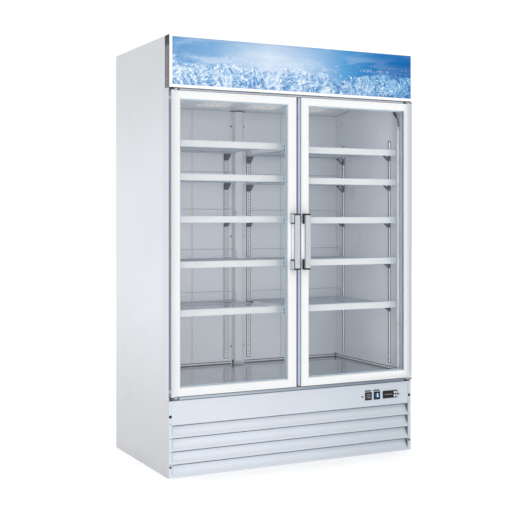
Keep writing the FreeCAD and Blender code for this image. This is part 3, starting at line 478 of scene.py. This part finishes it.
def picture_ice(s, u, v):
    """Crumpled facets of ice, each stroked in its own direction; also returns each facet's tone."""
    crumple, facets, chips = 0.035, 17.0, 62.0
    warp = s.node("ShaderNodeVectorMath", operation="MULTIPLY_ADD")
    warp.inputs[1].default_value = (crumple, 0.0, crumple)
    s.link(s.noise(22.0, 3.0, color=True), warp.inputs[0])
    s.link(s.coords, warp.inputs[2])
    bent = warp.outputs["Vector"]
    cell = s.voronoi(facets, source=bent, output="Color")
    turn = s.node("ShaderNodeVectorRotate", rotation_type="Y_AXIS")
    s.link(bent, turn.inputs["Vector"])
    s.link(s.math("MULTIPLY", s.axis("Z", cell), 6.3), turn.inputs["Angle"])
    stroked = s.mapped(scale=(0.5, 1, 2.6), source=turn.outputs["Vector"])
    strokes = s.noise(34.0, 4.0, 0.9, source=stroked, rough=0.6)
    facet_tone = s.axis("X", cell)
    chip_tone = s.axis("Y", s.voronoi(chips, source=bent, output="Color"))
    tone = s.math("ADD", s.math("MULTIPLY", facet_tone, 0.34), s.math("MULTIPLY", chip_tone, 0.20))
    tone = s.math("ADD", tone, s.math("MULTIPLY", s.math("SUBTRACT", strokes, 0.42), 1.9))
    ice = s.ramp(tone, [(0.16, (0.06, 0.22, 0.48)), (0.36, (0.20, 0.39, 0.63)), (0.56, (0.42, 0.57, 0.75)),
                        (0.76, (0.66, 0.75, 0.85)), (0.92, (0.90, 0.91, 0.90))])
    # pale edges between the facets and, finer, within them
    edges = s.voronoi(facets, feature="DISTANCE_TO_EDGE", source=bent)
    rim = s.math("MULTIPLY", s.span(edges, 0.0, 0.06, 0.8, 0.0), s.span(chip_tone, 0.3, 0.6))
    ice = s.mix(rim, ice, (0.84, 0.88, 0.92))
    fine = s.voronoi(44.0, feature="DISTANCE_TO_EDGE", source=bent)
    ice = s.mix(s.span(fine, 0.0, 0.07, 0.45, 0.0), ice, (0.80, 0.86, 0.92))
    deep = s.mix(s.span(v, 0.1, 0.45, 0.75, 1.0), ice, (0.20, 0.52, 0.74), "MULTIPLY")
    return s.mix(s.span(u, 0.4, 1.0, 0.0, 1.0), ice, deep), facet_tone


def header_print():
    """Ice header: a blue sky with pale streaks over a bank of jumbled ice."""
    low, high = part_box("sign_graphic")
    s = Surface("header_print", (0.3, 0.55, 0.8), 0.3, Specular_IOR_Level=0.07)
    u = s.span(s.axis("X"), low[0], high[0])
    v = s.span(s.axis("Z"), low[2], high[2])
    sky = picture_sky(s, u, v)
    ice, facet_tone = picture_ice(s, u, v)
    crest = s.math("ADD", s.span(u, 0.0, 0.5, 0.30, 0.21), s.math("MULTIPLY", s.noise(8.0, 4.0, 0.5), 0.26))
    crest = s.math("ADD", crest, s.math("MULTIPLY", facet_tone, 0.20))
    bank = s.span(s.math("SUBTRACT", crest, v), -0.02, 0.05, 0.0, 1.0, True)
    spray = s.math("MULTIPLY", s.span(s.noise(70.0, 2.0, 1.0), 0.64, 0.69), s.span(v, 0.42, 0.72, 1.0, 0.0))
    glints = s.math("MULTIPLY", s.span(s.noise(34.0, 3.0, 2.5), 0.60, 0.66), 0.7)
    s.feed("Base Color", s.mix(bank, s.mix(spray, sky, (0.88, 0.91, 0.94)),
                               s.mix(glints, ice, (0.95, 0.95, 0.93))))
    s.bump(s.noise(300.0, 2.0), 0.05, 0.0001)
    return s.material


def lit(name, color, glow, strength):
    """Translucent lens with a lamp behind it, brighter at the middle; the ceiling plates take it as painted light,
    though no lamp is behind them.
    """
    s = moulded(name, color, 0.25, 900.0)
    s.set("Emission Color", (*glow, 1))
    s.feed("Emission Strength", s.span(s.noise(60.0, 2.0), 0.3, 0.7, strength * 0.7, strength * 1.2))
    return s.material


def finishes():
    """One material per CAD slot, and those of the extra pieces."""
    return {
        "white_steel": cabinet_paint("white_enamel", (0.655, 0.675, 0.71), 0.77, 0.82).material,
        "trim_blue_white": cabinet_paint("trim_enamel", (0.60, 0.64, 0.705), 0.90, 0.82).material,
        "back_steel": painted("back_enamel", (0.60, 0.61, 0.63), 0.4).material,
        "galvanised": brushed("galvanised", (0.45, 0.46, 0.48), 0.5, (8, 8, 8)).material,
        "foam": foamed_edge(),
        "jamb_grey": painted("jamb_plastic", (0.56, 0.63, 0.72), 0.2).material,
        "sign_white": painted("sign_enamel", (0.90, 0.90, 0.90), 0.28, 0.01).material,
        "sign_print": header_print(),
        "cap_grey": end_cap(),
        "dark_metal": painted("black_metal", (0.035, 0.035, 0.042), 0.4).material,
        "nylon": moulded("nylon", (0.80, 0.80, 0.78), 0.4).material,
        "black_plastic": moulded("black_plastic", (0.008, 0.008, 0.010), 0.5,
                                 Specular_IOR_Level=0.25).material,
        "black_gloss": moulded("black_gloss", (0.006, 0.006, 0.008), 0.3, Specular_IOR_Level=0.25).material,
        "screw_steel": screw_metal(),
        "liner_white": painted("liner_enamel", (0.74, 0.76, 0.79), 0.32).material,
        "stainless": brushed("stainless", (0.58, 0.59, 0.61), 0.14, (60, 1, 60)).material,
        "pilaster_grey": standard_steel(),
        "bracket_grey": painted("bracket_enamel", (0.075, 0.075, 0.092), 0.42).material,
        "led_lens": lit("lamp_lens", (0.85, 0.87, 0.88), (1.0, 0.97, 0.95), 0.10),
        "lead_rubber": moulded("lead_rubber", (0.004, 0.004, 0.005), 0.6, Specular_IOR_Level=0.2).material,
        "coil_aluminium": finned(),
        "compressor_black": painted("compressor_enamel", (0.015, 0.015, 0.018), 0.3).material,
        "copper": brushed("copper", (0.72, 0.36, 0.20), 0.3, (10, 10, 10)).material,
        "fan_plastic": moulded("fan_plastic", (0.03, 0.03, 0.035), 0.5).material,
        "shelf_white": shelf_enamel(),
        "door_white": door_enamel(),
        "door_glass": sheet_glass(),
        "spacer_aluminium": brushed("spacer", (0.55, 0.68, 0.78), 0.35, (60, 60, 1), 0.3).material,
        "gasket_grey": moulded("gasket", (0.30, 0.32, 0.35), 0.7).material,
        "handle_silver": brushed("handle_silver", (0.53, 0.55, 0.58), 0.35, (60, 60, 1), 0.6).material,
        "button_grey": moulded("button", (0.70, 0.73, 0.76), 0.35).material,
        "kick_enamel": kick_enamel(),
        "hinge_steel": hinge_steel(),
        "handle_dark": moulded("handle_post", (0.022, 0.020, 0.028), 0.45, Specular_IOR_Level=0.3).material,
        "handle_cover": moulded("handle_cover", (0.60, 0.67, 0.76), 0.35).material,
        "lit_blue": lit("lit_lens", (0.005, 0.13, 0.40), (0.0, 0.22, 0.55), 0.18),
        "lit_pale": lit("lit_edge", (0.60, 0.74, 0.88), (0.6, 0.8, 1.0), 0.15),
        "ridge_grey": moulded("ridge", (0.42, 0.44, 0.48), 0.4).material,
        "label_grey": painted("label_plate", (0.04, 0.04, 0.055), 0.5).material,
        "window_grey": moulded("window", (0.20, 0.20, 0.22), 0.3).material,
        # painted light: the ceiling plates glow though they are no lamp
        "plate_grey": lit("ceiling_plate", (0.88, 0.86, 0.82), (1.0, 0.94, 0.86), 0.11),
        "seam_grey": painted("seam", (0.34, 0.37, 0.42), 0.4).material,
        "gap_pale": painted("upper_rail", (0.50, 0.54, 0.60), 0.25).material,
        "gap_blue": rail_enamel(),
        "fold_shadow": painted("fold_shadow", (0.12, 0.145, 0.19), 0.4).material,
        "fold_line": fold_line(),
        "trim_strip": trim_strip(),
        "strip_white": painted("strip_card", (0.93, 0.945, 0.945), 0.3, 0.01, 0.1).material,
        "slot_dark": painted("standard_shadow", (0.035, 0.035, 0.045), 0.5).material,
    }


# CAD nodes whose finish differs from the rest of their slot
own_finish = {"kick_panel": "kick_enamel", "hinge_brackets": "hinge_steel", "floor_trims": "trim_strip"}
# width in millimetres of the eased edges on the sheet and frame parts that catch the light
bevels = {"side_panel_left": 1.0, "side_panel_right": 1.0, "corner_trims": 1.2, "kick_panel": 0.5,
          "door_frame_left": 1.6, "door_frame_right": 1.6, "sign_frame": 1.2, "sign_end_caps": 1.0,
          "jamb_frame": 1.0, "mullion": 1.2, "controller_body": 0.8, "switch_housings": 0.6,
          "rocker_power": 0.6, "rocker_light": 0.6, "roof_panel": 0.4}


def dress_cad():
    """Gives each CAD node its finish, and eases the edges that catch light."""
    table = finishes()
    for part in frame["record"]["subparts"]:
        solid = nodes[part["node"]]
        finish = table[own_finish.get(part["node"], part["material_slot"])]
        if not solid.material_slots:
            solid.data.materials.append(finish)
        for entry in solid.material_slots:
            entry.link = "OBJECT"
            entry.material = finish
        width = bevels.get(part["node"])
        if width:
            weld = solid.modifiers.new("weld", "WELD")
            weld.merge_threshold = 0.00002
            bevel = solid.modifiers.new("ease", "BEVEL")
            bevel.width = width / 1000
            bevel.segments = 2
            bevel.limit_method = "ANGLE"
            bevel.angle_limit = math.radians(40)
            bevel.harden_normals = False
    return table


# ---------------------------------------------------------------- pieces shaped in mesh
let_in = 0.0004    # how far a thin piece is let into the surface behind it


def joint_place(name):
    """Where a joint's axis passes, in metres."""
    return Vector(next(joint for joint in frame["joints"] if joint["name"] == name)["pos_m"])


def extrude(bm, plane, outline, low, high):
    """Runs a closed outline in a plane, such as "xz", from low to high along the third axis."""
    order = [plane.find(axis) if axis in plane else 2 for axis in "xyz"]
    first, last = [[bm.verts.new([(*point, end)[i] for i in order]) for point in outline]
                   for end in (low, high)]
    faces = [bm.faces.new(first), bm.faces.new(reversed(last))]
    for i in range(len(outline)):
        j = (i + 1) % len(outline)
        faces.append(bm.faces.new((first[i], first[j], last[j], last[i])))
    bmesh.ops.recalc_face_normals(bm, faces=faces)


def rounded(a0, a1, b0, b1, radius, steps=4):
    """Closed outline of a rectangle with rounded corners."""
    corners = ((a1 - radius, b0 + radius, -90), (a1 - radius, b1 - radius, 0),
               (a0 + radius, b1 - radius, 90), (a0 + radius, b0 + radius, 180))
    outline = []
    for a, b, start in corners:
        for i in range(steps + 1):
            turn = math.radians(start + 90 * i / steps)
            outline.append((a + radius * math.cos(turn), b + radius * math.sin(turn)))
    return outline


def turned(bm, place, profile, toward=(0, -1, 0), sides=20):
    """Lathes (radius, height) points about an axis that starts at place."""
    out = Vector(toward)
    across = out.orthogonal().normalized()
    up = out.cross(across)
    rings = []
    for radius, height in profile:
        ring = []
        for i in range(sides):
            turn = 2 * math.pi * i / sides
            spoke = across * math.cos(turn) + up * math.sin(turn)
            ring.append(bm.verts.new(Vector(place) + out * height + spoke * radius))
        rings.append(ring)
    faces = [bm.faces.new(rings[0]), bm.faces.new(rings[-1])]
    for lower, upper in zip(rings, rings[1:]):
        for i in range(sides):
            j = (i + 1) % sides
            faces.append(bm.faces.new((lower[i], lower[j], upper[j], upper[i])))
    bmesh.ops.recalc_face_normals(bm, faces=faces)


def piece(name, bm, finish, body="cabinet", ease=0.0):
    """Turns the mesh into a named piece that takes a slot's finish and rides on a body."""
    mesh = bpy.data.meshes.new(name)
    bm.to_mesh(mesh)
    bm.free()
    mesh.materials.append(slots[finish])
    made = bpy.data.objects.new(name, mesh)
    bpy.context.collection.objects.link(made)
    if ease:
        bevel = made.modifiers.new("ease", "BEVEL")
        bevel.width = ease
        bevel.segments = 3
        bevel.limit_method = "ANGLE"
        bevel.angle_limit = math.radians(40)
    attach(made, body)
    return made


def handles():
    """Flat chamfered bar with dark ends on two dark stand-offs, with light covers on the hinge side.

    The left bar is wider towards the gap, and its posts and covers reach forward beside it.
    The right bar is wider outwards.
    """
    bar_wide, bar_thick, cap = 0.026, 0.012, 0.008
    post_tall, post_inset, proud = 0.050, 0.0035, 0.0002
    cover_thick, cover_gap = 0.0035, 0.003
    chamfer, soft = 0.004, 0.0013
    low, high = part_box("handle_right")
    back = low[1] + bar_thick
    cover_x = high[0] - cover_thick
    for side, word, inward, outward, wrap in ((-1, "left", 0.0045, 0.0, low[1] + 0.0015),
                                              (1, "right", 0.0, 0.0035, back)):
        body = "door_" + word
        x0 = low[0] - inward
        x1 = low[0] + bar_wide + outward
        outline = [(x0, back), (x0, low[1] + chamfer), (x0 + soft, low[1] + soft), (x0 + chamfer, low[1]),
                   (x1 - chamfer, low[1]), (x1 - soft, low[1] + soft), (x1, low[1] + chamfer), (x1, back)]
        outline = [(side * x, y) for x, y in outline]
        bar = bmesh.new()
        extrude(bar, "xy", outline, low[2] + cap, high[2] - cap)
        made = piece("handle_bar_" + word, bar, "handle_silver", body, 0.0006)
        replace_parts(made, "handle_" + word)

        dark = bmesh.new()
        for ends in ((low[2], low[2] + cap), (high[2] - cap, high[2])):
            extrude(dark, "xy", outline, *ends)
        for z0 in (low[2], high[2] - post_tall):
            post = [(x0 + post_inset, high[1]), (x0 + post_inset, back), (x1 + proud, back),
                    (x1 + proud, wrap - proud), (cover_x, wrap - proud), (cover_x, high[1])]
            extrude(dark, "xy", [(side * x, y) for x, y in post], z0, z0 + post_tall)
        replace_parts(piece("handle_posts_" + word, dark, "handle_dark", body, 0.0006), "handle_" + word)

        light = bmesh.new()
        for z0 in (low[2] + cover_gap, high[2] - post_tall + 2 * cover_gap):
            cover = rounded(wrap, high[1], z0, z0 + post_tall - 3 * cover_gap, 0.0012, 2)
            extrude(light, "yz", cover, *sorted((side * cover_x, side * high[0])))
        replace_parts(piece("handle_covers_" + word, light, "handle_cover", body, 0.0005), "handle_" + word)


def rocker_faces():
    """Lit lens on one rocker and raised ridges on the other, lying on the paddles' V-shaped faces."""
    tilt, seat = math.radians(8), 0.0024
    lens_across, lens_tall = (-0.0085, 0.0012), (-0.0105, 0.0095)
    edge_across, edge_tall = (0.0014, 0.0078), (-0.0090, 0.0105)
    ridge_heights, ridge_half, ridge_margin = (-0.0085, -0.0002, 0.0081), 0.0011, 0.0036

    def lay(name, body, finish, wide, spans, proud, ease):
        bm = bmesh.new()
        for x0, x1, low, high in ((*wide, *span) for span in spans):
            marks = [low, 0.0, high] if low < 0 < high else [low, high]
            front = [(-seat - abs(z) * math.tan(tilt) - proud, z) for z in marks]
            rear = [(y + proud + let_in, z) for y, z in reversed(front)]
            extrude(bm, "yz", front + rear, x0, x1)
        pivot = joint_place(body + "_tilt")
        bmesh.ops.rotate(bm, verts=bm.verts, cent=(0, 0, 0), matrix=Matrix.Rotation(-tilt, 3, "X"))
        bmesh.ops.translate(bm, verts=bm.verts, vec=pivot)
        piece(name, bm, finish, body, ease)

    low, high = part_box("rocker_power")
    half = (high[0] - low[0]) / 2 - ridge_margin
    lay("rocker_light_lens", "rocker_light", "lit_blue", lens_across, [lens_tall], 0.0009, 0.0003)
    lay("rocker_light_edge", "rocker_light", "lit_pale", edge_across, [edge_tall], 0.0006, 0.0002)
    lay("rocker_power_ridges", "rocker_power", "ridge_grey", (-half, half),
        [(z - ridge_half, z + ridge_half) for z in ridge_heights], 0.0009, 0.0003)


def console_marks():
    """Blank label plates over the switches and the reading window of the controller."""
    left, right, gap, plate_tall, proud = 0.0205, 0.0165, 0.0035, 0.0065, 0.0008
    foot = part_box("switch_housings")[1][2] + gap
    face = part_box("kick_panel")[0][1]
    bm = bmesh.new()
    for name in ("rocker_power", "rocker_light"):
        middle = joint_place(name + "_tilt")[0]
        plate = rounded(middle - left, middle + right, foot, foot + plate_tall, 0.0008)
        extrude(bm, "xz", plate, face - proud, face + let_in)
    piece("label_plates", bm, "label_grey", ease=0.0002)

    low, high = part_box("controller_body")
    window_left, window_right, below, above = 0.009, 0.056, 0.0175, 0.0165
    bm = bmesh.new()
    window = rounded(low[0] + window_left, low[0] + window_right, low[2] + below, high[2] - above, 0.0010)
    extrude(bm, "xz", window, low[1], low[1] + let_in)
    piece("controller_window", bm, "window_grey")


def button_caps():
    """Soft square keys, a little smaller than the buttons they stand for."""
    inset = 0.0013
    for joint in frame["joints"]:
        if joint["name"].startswith("button_"):
            body = joint["child"]
            node = "controller_" + body
            low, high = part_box(node)
            bm = bmesh.new()
            key = rounded(low[0] + inset, high[0] - inset, low[2] + inset, high[2] - inset, 0.0018)
            extrude(bm, "xz", key, low[1], high[1])
            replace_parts(piece("key_" + body, bm, "button_grey", body, 0.0005), node)


def lead_connectors():
    """Collared inline connector on each lamp lead, on its way down from the ceiling."""
    start, along = (0.6045, -0.2770, 1.768), (0.225, -0.325, -0.918)
    neck, body, collar = 0.0030, 0.0060, 0.0072
    profile = [(neck, 0.0), (body, 0.003), (body + 0.0002, 0.018), (collar, 0.019), (collar, 0.036),
               (body, 0.038), (body - 0.0008, 0.048), (neck + 0.0004, 0.053)]
    for side, word in ((-1, "left"), (1, "right")):
        bm = bmesh.new()
        turned(bm, (side * start[0], *start[1:]), profile, (side * along[0], *along[1:]))
        piece("lead_connector_" + word, bm, "lead_rubber")


def mullion_clip():
    """Dark keeper near the top of the centre post."""
    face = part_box("jamb_frame")[0][1]
    half, bottom, top = 0.0075, 1.690, 1.702
    bm = bmesh.new()
    extrude(bm, "xz", rounded(-half, half, bottom, top, 0.0015), face - 0.006, face + 0.001)
    piece("mullion_clip", bm, "black_plastic", ease=0.0006)


def ceiling_arc(start=0.3375, stop=0.1125, steps=12):
    """(y, z) points of the parabola that the ceiling's underside sweeps, from the back wall forward."""
    knots = ((0.3375, 1.784), (0.2325, 1.799), (0.1125, 1.825))
    points = []
    for i in range(steps + 1):
        y = start + (stop - start) * i / steps
        height = 0.0
        for at, z in knots:
            height += z * math.prod((y - other) / (at - other) for other, _ in knots if other != at)
        points.append((y, height))
    return points


def ceiling_plates():
    """Four blank plates that follow the sloped part of the ceiling."""
    proud, thick, half_wide, pitch, first = 0.0010, 0.0016, 0.0925, 0.290, -0.475
    lower = [(y, z - proud) for y, z in ceiling_arc(0.267, 0.142, 8)]
    bm = bmesh.new()
    for index in range(4):
        centre = first + index * pitch
        extrude(bm, "yz", lower + [(y, z + thick) for y, z in reversed(lower)],
                centre - half_wide, centre + half_wide)
    # their finish glows as painted light
    piece("ceiling_plates", bm, "plate_grey", ease=0.0004)


def front_edge(node, side):
    """Lowest and highest corner of a shelf node's front face on one side of the cabinet."""
    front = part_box(node)[0][1]
    corners = [v.co for v in nodes[node].data.vertices if abs(v.co.y - front) < 0.001 and v.co.x * side > 0]
    return ([min(c[i] for c in corners) for i in range(3)], [max(c[i] for c in corners) for i in range(3)])


def price_strips():
    """White card strip on each shelf's lip, and two dark studs at the left shelf's end by the air duct."""
    margin, proud, corner, edge_proud = 0.0030, 0.0016, 0.0010, 0.0012
    left_end, right_end = 0.004, 0.042
    stud = [(0.0036, 0.0), (0.0034, 0.0016), (0.0022, 0.0026)]
    stud_inset, below_top, below_foot = 0.004, 0.016, 0.001
    for level in range(1, 6):
        node = "shelves_level_%d" % level
        bm = bmesh.new()
        for side in (-1, 1):
            low, high = front_edge(node, side)
            back, front, bottom, top = low[1] + let_in, low[1] - proud, low[2] + margin, high[2] - margin
            strip = [(low[1] - edge_proud, top), (front, top - corner), (front, bottom + corner),
                     (low[1] - edge_proud, bottom), (back, bottom), (back, top)]
            extrude(bm, "yz", strip, low[0] + left_end, high[0] - right_end)
        piece("price_strip_%d" % level, bm, "strip_white")
        bm = bmesh.new()
        low, high = front_edge(node, -1)
        for z in (high[2] - below_top, low[2] - below_foot):
            turned(bm, (high[0] - stud_inset, low[1] - 0.0002, z), stud)
        piece("shelf_end_studs_%d" % level, bm, "black_plastic")


def column_details():
    """Dark strip between the air duct and the ceiling, the duct's foot clip and the screws in its flange."""
    low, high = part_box("centre_column")
    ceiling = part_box("ceiling_panel")[0][2]
    bm = bmesh.new()
    proud, flange_thick = 0.001, 0.0025
    fold, face = high[0] - 0.0115, high[0] - 0.0195
    right = [(face, low[1] - proud), (fold, high[1] - flange_thick),
             (high[0] + proud, high[1] - flange_thick), (high[0] + proud, high[1])]
    extrude(bm, "xy", right + [(-x, y) for x, y in reversed(right)], high[2], ceiling)
    trim_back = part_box("floor_trims")[1][1]
    extrude(bm, "xz", rounded(-0.036, -0.028, low[2] - 0.012, low[2] + 0.008, 0.0015),
            trim_back - 0.016, trim_back - 0.010)
    screw = [(0.0046, 0.0), (0.0045, 0.0012), (0.0036, 0.0024), (0.0020, 0.0028), (0.0017, 0.0014)]
    screw_inset, screw_back, screw_heights = 0.0055, 0.0018, (0.500, 1.100, 1.700)
    for z in screw_heights:
        turned(bm, (low[0] + screw_inset, high[1] - screw_back, z), screw)
    piece("column_details", bm, "black_plastic")


def runs(values, apart=0.05):
    """Both ends of each run of coordinates that lies apart from the others."""
    values = sorted(values)
    cuts = [i for i in range(1, len(values)) if values[i] - values[i - 1] > apart]
    return [(values[a], values[b - 1]) for a, b in zip([0] + cuts, cuts + [len(values)])]


def pilaster_shadows():
    """Painted shadow: dark strips behind the shelf standards, a little wider than them, and a dark rim on the side
    ones.

    The rim runs along the rear edge of each side-wall standard's face, as high as the top shelf's guard.
    """
    low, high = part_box("pilasters")
    points = [v.co for v in nodes["pilasters"].data.vertices]
    edge, thick, rim_wide, same = 0.004, 0.0012, 0.0062, 0.0005
    guard_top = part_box("shelves_level_1")[1][2]
    bm = bmesh.new()
    # painted shadow behind the standards and in their slots
    for x0, x1 in runs([p.x for p in points if p.y > high[1] - same]):
        extrude(bm, "xy", rounded(x0 - edge, x1 + edge, high[1] - thick, high[1] + let_in, 0.0004),
                low[2] - edge, high[2] + edge)
    for side in (-1, 1):
        wall = side * high[0]
        across = sorted((wall - side * thick, wall + side * let_in))
        for y0, y1 in runs([p.y for p in points if abs(p.x - wall) < same]):
            extrude(bm, "xy", rounded(*across, y0 - edge, y1 + edge, 0.0004), low[2] - edge, high[2] + edge)
            # painted shadow rim along the rear edge of each side-wall standard's face
            face = min(abs(p.x) for p in points if abs(p.y - y1) < same and p.x * side > 0)
            rim = sorted((side * (face - 0.0004), side * (face + 0.0006)))
            extrude(bm, "xy", rounded(*rim, y1 - rim_wide, y1 + 0.0004, 0.0003), low[2], guard_top)
    piece("pilaster_painted_shadows", bm, "slot_dark")


def liner_seams():
    """Fine folds in the back wall and the joint between ceiling and walls."""
    wall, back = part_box("pilasters")[1][0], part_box("pilasters")[1][1]
    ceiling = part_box("ceiling_panel")[0][2]
    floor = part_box("floor_trims")[1][2]
    duct_low, duct_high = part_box("centre_column")
    half, soft, bead = 0.0009, 0.0003, 0.0012
    fold_x, duct_x = 0.268, duct_high[0] - 0.0197
    bm = bmesh.new()
    for side in (-1, 1):
        x = side * fold_x
        extrude(bm, "xy", rounded(x - half, x + half, back - 0.0008, back + let_in, soft), floor, ceiling)
        x = side * duct_x
        extrude(bm, "xy", rounded(x - half, x + half, duct_low[1] - 0.0004, duct_low[1] + 0.0006, soft),
                duct_low[2], duct_high[2])
    joint = rounded(back - bead, back + let_in, ceiling - 0.0018, ceiling - 0.0002, soft)
    extrude(bm, "yz", joint, -wall, wall)
    path = [(y, z - 0.0006) for y, z in ceiling_arc()]
    for side in (-1, 1):
        across = sorted((side * (wall - bead), side * (wall + let_in)))
        extrude(bm, "yz", path + [(y, z - 0.0020) for y, z in reversed(path)], *across)
    piece("liner_seams", bm, "seam_grey")


def gap_strips():
    """Rails seen in the gaps above and below the doors."""
    door_low, door_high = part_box("door_frame_right")
    sign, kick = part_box("sign_frame")[0][2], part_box("kick_panel")[1][2]
    reach = joint_place("door_right_hinge")[0] - 0.035
    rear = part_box("jamb_frame")[0][1]
    set_back, share = 0.013, 0.3
    for name, finish, low, high in (("upper_rail", "gap_pale", door_high[2], sign),
                                    ("lower_rail", "gap_blue", kick, door_low[2])):
        middle, half = (low + high) / 2, (high - low) * share
        bm = bmesh.new()
        rail = rounded(door_low[1] + set_back, rear, middle - half, middle + half, 0.0012)
        extrude(bm, "yz", rail, -reach, reach)
        piece(name, bm, finish)


def kick_folds():
    """Painted shadow under each louver's upper edge, with dark wedges of painted shadow at its ends, and the fold
    down both ends of the panel.
    """
    low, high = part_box("kick_panel")
    louver_end, lip, sheet = 0.6555, 0.0052, 0.0011
    wedge_thick, wedge_front, wedge_back, wedge_tall = 0.001, low[1] + 0.0025, low[1] + 0.031, 0.046
    louver_tops = (0.2435, 0.1845, 0.1235, 0.0625)
    front = low[1] + sheet
    bm = bmesh.new()
    for top in louver_tops:
        # painted shadow: a dark strip lip tall under each louver's top edge
        outline = [(front, top + let_in), (front + 0.0012, top + let_in),
                   (front + 0.0012, top - lip + 0.0008), (front + 0.0006, top - lip),
                   (front, top - lip + 0.0004)]
        extrude(bm, "yz", outline, -louver_end, louver_end)
        # painted shadow wedge at each louver end
        for side in (-1, 1):
            across = sorted((side * louver_end, side * (louver_end - wedge_thick)))
            wedge = [(wedge_front, top - lip), (wedge_back, top - lip), (wedge_front, top - wedge_tall)]
            extrude(bm, "yz", wedge, *across)
    piece("louver_painted_shadows", bm, "fold_shadow")
    inner, outer, margin = 0.6566, 0.6588, 0.012
    bm = bmesh.new()
    for side in (-1, 1):
        fold = rounded(*sorted((side * inner, side * outer)), low[2] + margin, high[2] - margin, 0.0004)
        extrude(bm, "xz", fold, low[1] - 0.0003, low[1] + let_in)
    piece("kick_folds", bm, "fold_line")


def door_plugs():
    """Small white plugs in the outer side of each door frame."""
    plug = [(0.0060, 0.0), (0.0060, 0.0010), (0.0050, 0.0018), (0.0022, 0.0020), (0.0018, 0.0012)]
    above_foot, below_top = 0.023, 0.032
    for side, word in ((-1, "left"), (1, "right")):
        low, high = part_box("door_frame_" + word)
        edge = (low if side < 0 else high)[0]
        bm = bmesh.new()
        for z in (low[2] + above_foot, high[2] - below_top):
            turned(bm, (edge - side * let_in, (low[1] + high[1]) / 2, z), plug, (side, 0, 0))
        piece("door_plugs_" + word, bm, "nylon", "door_" + word)


def stage_floor():
    """Pale studio floor, lifted a little by its own light."""
    size = 30.0
    corners = [(-size, -size, 0), (size, -size, 0), (size, size, 0), (-size, size, 0)]
    mesh = bpy.data.meshes.new("floor")
    mesh.from_pydata(corners, [], [(0, 1, 2, 3)])
    floor = bpy.data.objects.new("floor", mesh)
    bpy.context.collection.objects.link(floor)
    s = Surface("floor", (0.93, 0.93, 0.93), 0.7)
    s.feed("Base Color", s.mix(s.noise(0.8, 3.0), (0.92, 0.92, 0.925), (0.95, 0.95, 0.95)))
    s.set("Emission Color", (1, 1, 1, 1))
    s.set("Emission Strength", 0.25)
    mesh.materials.append(s.material)


camera()
studio()
stage_floor()
slots = dress_cad()
handles()
rocker_faces()
console_marks()
button_caps()
lead_connectors()
mullion_clip()
ceiling_plates()
price_strips()
column_details()
pilaster_shadows()
liner_seams()
gap_strips()
kick_folds()
door_plugs()
